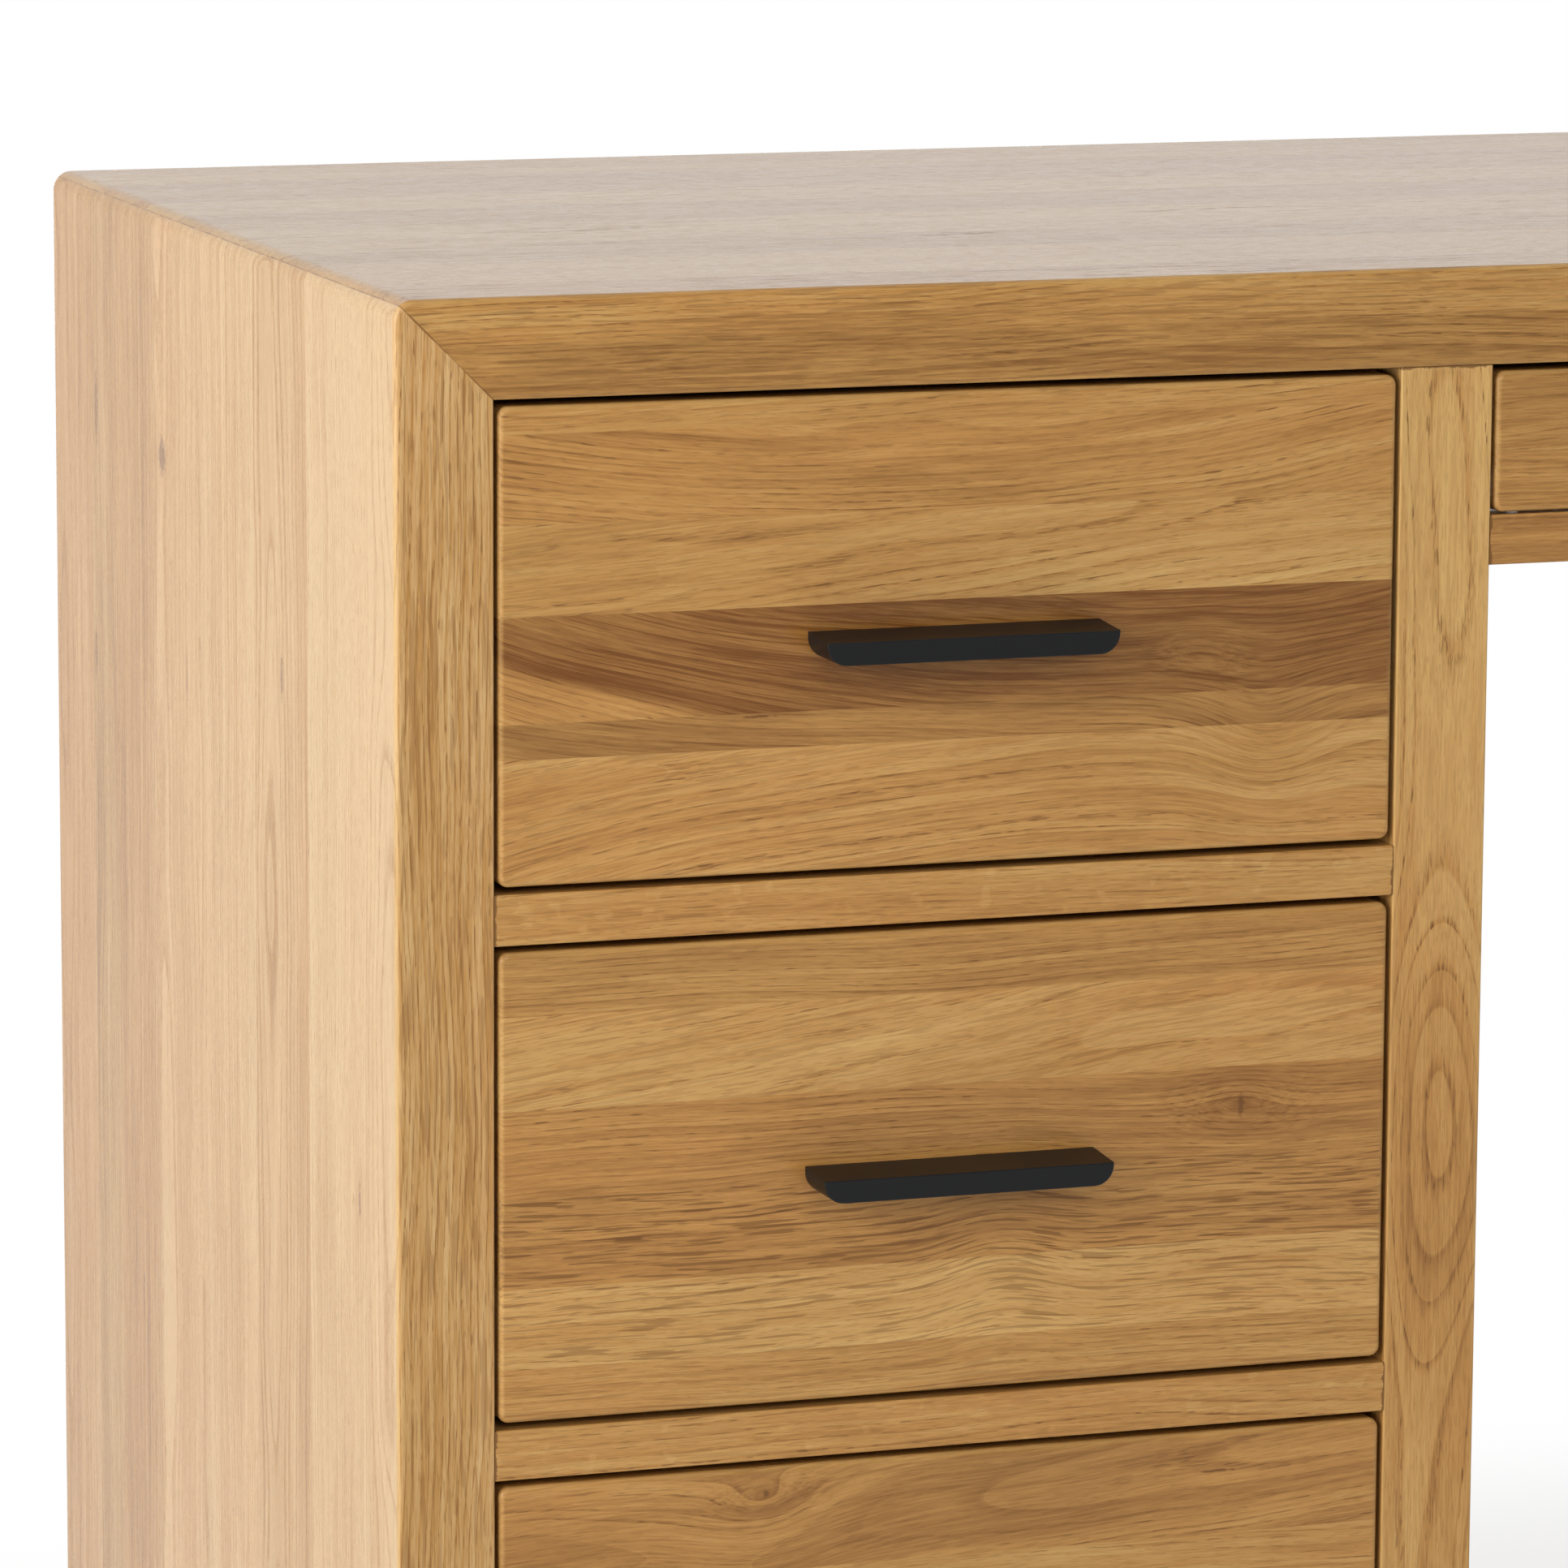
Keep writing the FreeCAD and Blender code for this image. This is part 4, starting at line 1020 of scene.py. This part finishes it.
class DESK_OT_drawer_boxes(bpy.types.Operator):
    """Give the drawer boxes pale wood with dovetails and their bottoms a birch face"""
    bl_idname = "desk.drawer_boxes"
    bl_label = "Drawer Boxes"

    def execute(self, context):
        fittings = context.scene.desk_fittings
        pore_depth = context.scene.desk_oak.pore_relief
        pale, golden = tuple(fittings.box_pale), tuple(fittings.box_golden)
        brown = tuple(fittings.box_brown)
        wood = {"Brown": brown, "Golden": golden, "Pale": pale, "Pore": brown}
        birch = {"Brown": golden, "Golden": pale, "Pale": tuple(fittings.ply), "Pore": brown}
        for drawer in FRONT_STAVES:
            low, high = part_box(f"{drawer}_drawer_box")
            tall = high.z - low.z - TAIL_FOOT
            tails = (low, high, tall / max(1, round(tall / TAIL_PITCH)))
            staves = BOX_STAVES if drawer != "centre" else BOX_STAVES[:1]
            dress(f"{drawer}_drawer_box", oak_board(
                f"{drawer}_box_wood", staves, "YZX", low.x, (low.z, high.z), wood, pore_depth, tails=tails))
            low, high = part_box(f"{drawer}_drawer_bottom")
            dress(f"{drawer}_drawer_bottom", oak_board(
                f"{drawer}_bottom_ply", PLY_SHEET, "XYZ", low.z, (low.y, high.y), birch, pore_depth,
                contrast=1.2, wander=0.05, clear=1.0))
        return {"FINISHED"}


class DESK_OT_handles(bpy.types.Operator):
    """Give the handles their black powder coat"""
    bl_idname = "desk.handles"
    bl_label = "Handles"

    def execute(self, context):
        coat = tuple(context.scene.desk_fittings.handle)
        material, tree, shader = new_material("black_powder_coat")
        place = object_place(tree)
        grit = mottle(tree, place, spots=(2600.0, 2600.0, 2600.0))[0]
        haze = mottle(tree, place, spots=(30.0, 30.0, 30.0), detail=3.0)[0]
        colour = blend(tree, haze, coat, scaled(coat, factor=1.5))
        finish(tree, shader, colour, between(tree, haze, least=0.34, most=0.48))
        relief(tree, shader, grit, strength=0.3, depth=0.04 * MM)
        shader.inputs["Specular IOR Level"].default_value = 0.25
        for drawer in FRONT_STAVES:
            dress(f"{drawer}_drawer_handle", material)
        return {"FINISHED"}


class DESK_OT_runners(bpy.types.Operator):
    """Give the runners and screws their zinc plate, drawn along the runners"""
    bl_idname = "desk.runners"
    bl_label = "Runners and Screws"

    def execute(self, context):
        steel = tuple(context.scene.desk_fittings.steel)
        material, tree, shader = new_material("zinc_plate")
        place = object_place(tree)
        drawn = mottle(tree, place, spots=(900.0, 12.0, 900.0), detail=3.0)[0]
        spangle = mottle(tree, place, spots=(70.0, 40.0, 70.0))[0]
        colour = blend(tree, spangle, scaled(steel, factor=0.72), steel)
        finish(tree, shader, colour, between(tree, drawn, least=0.22, most=0.47))
        relief(tree, shader, drawn, strength=0.25, depth=0.05 * MM)
        shader.inputs["Metallic"].default_value = 1.0
        dress("cabinet_runners", material)
        dress("carcass_screws", material)
        for drawer in FRONT_STAVES:
            dress(f"{drawer}_drawer_runners", material)
            dress(f"{drawer}_drawer_intermediate_runners", material)
        return {"FINISHED"}


class DESK_OT_dowels_and_glides(bpy.types.Operator):
    """Give the dowels beech wood and the floor glides nylon"""
    bl_idname = "desk.dowels_and_glides"
    bl_label = "Dowels and Glides"

    def execute(self, context):
        fittings = context.scene.desk_fittings
        beech, tree, shader = new_material("beech_dowel")
        rays = mottle(tree, object_place(tree), spots=(600.0, 600.0, 600.0), detail=3.0)[0]
        colour = blend(tree, rays, tuple(fittings.box_brown), tuple(fittings.box_pale))
        finish(tree, shader, colour, between(tree, rays, least=0.5, most=0.7))
        dress("wood_dowels", beech)
        nylon, tree, shader = new_material("nylon_glide")
        grain = mottle(tree, object_place(tree), spots=(1800.0, 1800.0, 1800.0))[0]
        colour = blend(tree, grain, tuple(fittings.glide), scaled(fittings.glide, factor=1.6))
        finish(tree, shader, colour, between(tree, grain, least=0.42, most=0.62))
        relief(tree, shader, grain, strength=0.4, depth=0.08 * MM)
        dress("floor_glides", nylon)
        return {"FINISHED"}


def hang(name, lamp, power):
    """A rectangular soft lamp turned to face its aim."""
    light = bpy.data.lights.new(name, "AREA")
    light.shape = "RECTANGLE"
    light.size = lamp.width
    light.size_y = lamp.height
    light.energy = power
    holder = bpy.data.objects.new(name, light)
    holder.location = lamp.place
    holder.rotation_euler = (Vector(lamp.aim) - Vector(lamp.place)).to_track_quat("-Z", "Y").to_euler()
    bpy.context.scene.collection.objects.link(holder)


class DESK_OT_studio(bpy.types.Operator):
    """Lay the pale floor, hang the lamps, set the room's light and place the camera"""
    bl_idname = "desk.studio"
    bl_label = "Studio"

    def execute(self, context):
        studio = context.scene.desk_studio
        self.floor(studio)
        self.room(context.scene, studio)
        hang("key_lamp", KEY_LAMP, studio.key_power)
        hang("fill_lamp", FILL_LAMP, studio.fill_power)
        hang("rear_lamp", REAR_LAMP, studio.rear_power)
        self.camera(context.scene, studio)
        context.scene.view_settings.view_transform = "Standard"
        return {"FINISHED"}

    def floor(self, studio):
        bpy.ops.object.select_all(action="DESELECT")
        bpy.ops.mesh.primitive_plane_add(size=FLOOR_SIZE)
        floor = bpy.context.object
        floor.name = "studio_floor"
        material, tree, shader = new_material("studio_floor")
        place = object_place(tree)
        dust = mottle(tree, place, spots=(9.0, 9.0, 9.0), detail=4.0)[0]
        colour = blend(tree, dust, tuple(studio.floor), scaled(studio.floor, factor=1.04))
        tree.links.new(colour, shader.inputs["Base Color"])
        shader.inputs["Roughness"].default_value = 0.7
        shader.inputs["Specular IOR Level"].default_value = 0.1
        x, y, _ = split(tree, place)
        beside, before = (
            calc(tree, "MAXIMUM", less(tree, calc(tree, "ABSOLUTE", measure), half), 0.0)
            for measure, half in ((x, HALF_WIDTH), (y, BACK)))
        away = distance(tree, beside, before)
        path = put(tree, "ShaderNodeLightPath").outputs
        shown = ease(tree, away, 0.0, SHADOW_REACH, SHADOW_LEVEL, 1.0)
        shown = times(tree, path["Is Camera Ray"], shown)
        seen = plus(tree, shown, path["Is Glossy Ray"])
        seen = plus(tree, seen, path["Is Transmission Ray"], clamp=True)
        white = put(tree, "ShaderNodeEmission", {"Color": WHITE, "Strength": 1.0})
        mixed = put(tree, "ShaderNodeMixShader", {0: seen, 1: shader.outputs[0], 2: white.outputs[0]})
        end = next(node for node in tree.nodes if node.type == "OUTPUT_MATERIAL")
        tree.links.new(mixed.outputs[0], end.inputs[0])
        floor.data.materials.append(material)

    def room(self, scene, studio):
        world = bpy.data.worlds.new("studio_room")
        world.use_nodes = True
        tree = world.node_tree
        tree.nodes.clear()
        path = put(tree, "ShaderNodeLightPath").outputs
        _, y, _ = split(tree, put(tree, "ShaderNodeTexCoord").outputs["Generated"])
        gloss_level = ease(tree, y, *ROOM_TURN, studio.room_front, 1.0)
        dull, glossy, plain = (
            put(tree, "ShaderNodeBackground", {"Color": WHITE, "Strength": level}).outputs[0]
            for level in (studio.room_level, gloss_level, 1.0))
        seen_in_gloss = plus(tree, path["Is Glossy Ray"], path["Is Transmission Ray"], clamp=True)
        lit = put(tree, "ShaderNodeMixShader", {0: seen_in_gloss, 1: dull, 2: glossy}).outputs[0]
        shown = put(tree, "ShaderNodeMixShader", {0: path["Is Camera Ray"], 1: lit, 2: plain}).outputs[0]
        end = put(tree, "ShaderNodeOutputWorld")
        tree.links.new(shown, end.inputs[0])
        scene.world = world

    def camera(self, scene, studio):
        data = bpy.data.cameras.new("studio_camera")
        data.sensor_width = 36.0
        data.lens = studio.lens
        data.clip_end = 60.0
        holder = bpy.data.objects.new("studio_camera", data)
        turn = (Matrix.Rotation(-studio.camera_yaw, 4, "Z")
                @ Matrix.Rotation(math.pi / 2 - studio.camera_pitch, 4, "X")
                @ Matrix.Rotation(-studio.camera_roll, 4, "Z"))
        holder.matrix_world = Matrix.Translation(Vector(studio.camera_place)) @ turn
        scene.collection.objects.link(holder)
        scene.camera = holder


PIECES = (
    DESK_OT_desktop, DESK_OT_end_panels, DESK_OT_inner_panels, DESK_OT_rails, DESK_OT_backs,
    DESK_OT_drawer_fronts, DESK_OT_drawer_boxes, DESK_OT_handles, DESK_OT_runners,
    DESK_OT_dowels_and_glides, DESK_OT_studio,
)


class DESK_PT_pieces(bpy.types.Panel):
    """Pieces and finishes of the desk"""
    bl_label = "Pedestal Desk"
    bl_idname = "DESK_PT_pieces"
    bl_space_type = "VIEW_3D"
    bl_region_type = "UI"
    bl_category = "Desk"

    def draw(self, context):
        for settings in (context.scene.desk_oak, context.scene.desk_fittings, context.scene.desk_studio):
            box = self.layout.box()
            for key in settings.__annotations__:
                box.prop(settings, key)
        for piece in PIECES:
            self.layout.operator(piece.bl_idname)


CLASSES = (DeskOak, DeskFittings, DeskStudio) + PIECES + (DESK_PT_pieces,)


def register():
    for kind in CLASSES:
        bpy.utils.register_class(kind)
    bpy.types.Scene.desk_oak = PointerProperty(type=DeskOak)
    bpy.types.Scene.desk_fittings = PointerProperty(type=DeskFittings)
    bpy.types.Scene.desk_studio = PointerProperty(type=DeskStudio)


def unregister():
    del bpy.types.Scene.desk_studio
    del bpy.types.Scene.desk_fittings
    del bpy.types.Scene.desk_oak
    for kind in reversed(CLASSES):
        bpy.utils.unregister_class(kind)


def main():
    register()
    bpy.ops.desk.desktop()
    bpy.ops.desk.end_panels()
    bpy.ops.desk.inner_panels()
    bpy.ops.desk.rails()
    bpy.ops.desk.backs()
    bpy.ops.desk.drawer_fronts()
    bpy.ops.desk.drawer_boxes()
    bpy.ops.desk.handles()
    bpy.ops.desk.runners()
    bpy.ops.desk.dowels_and_glides()
    bpy.ops.desk.studio()


if __name__ == "__main__":
    main()
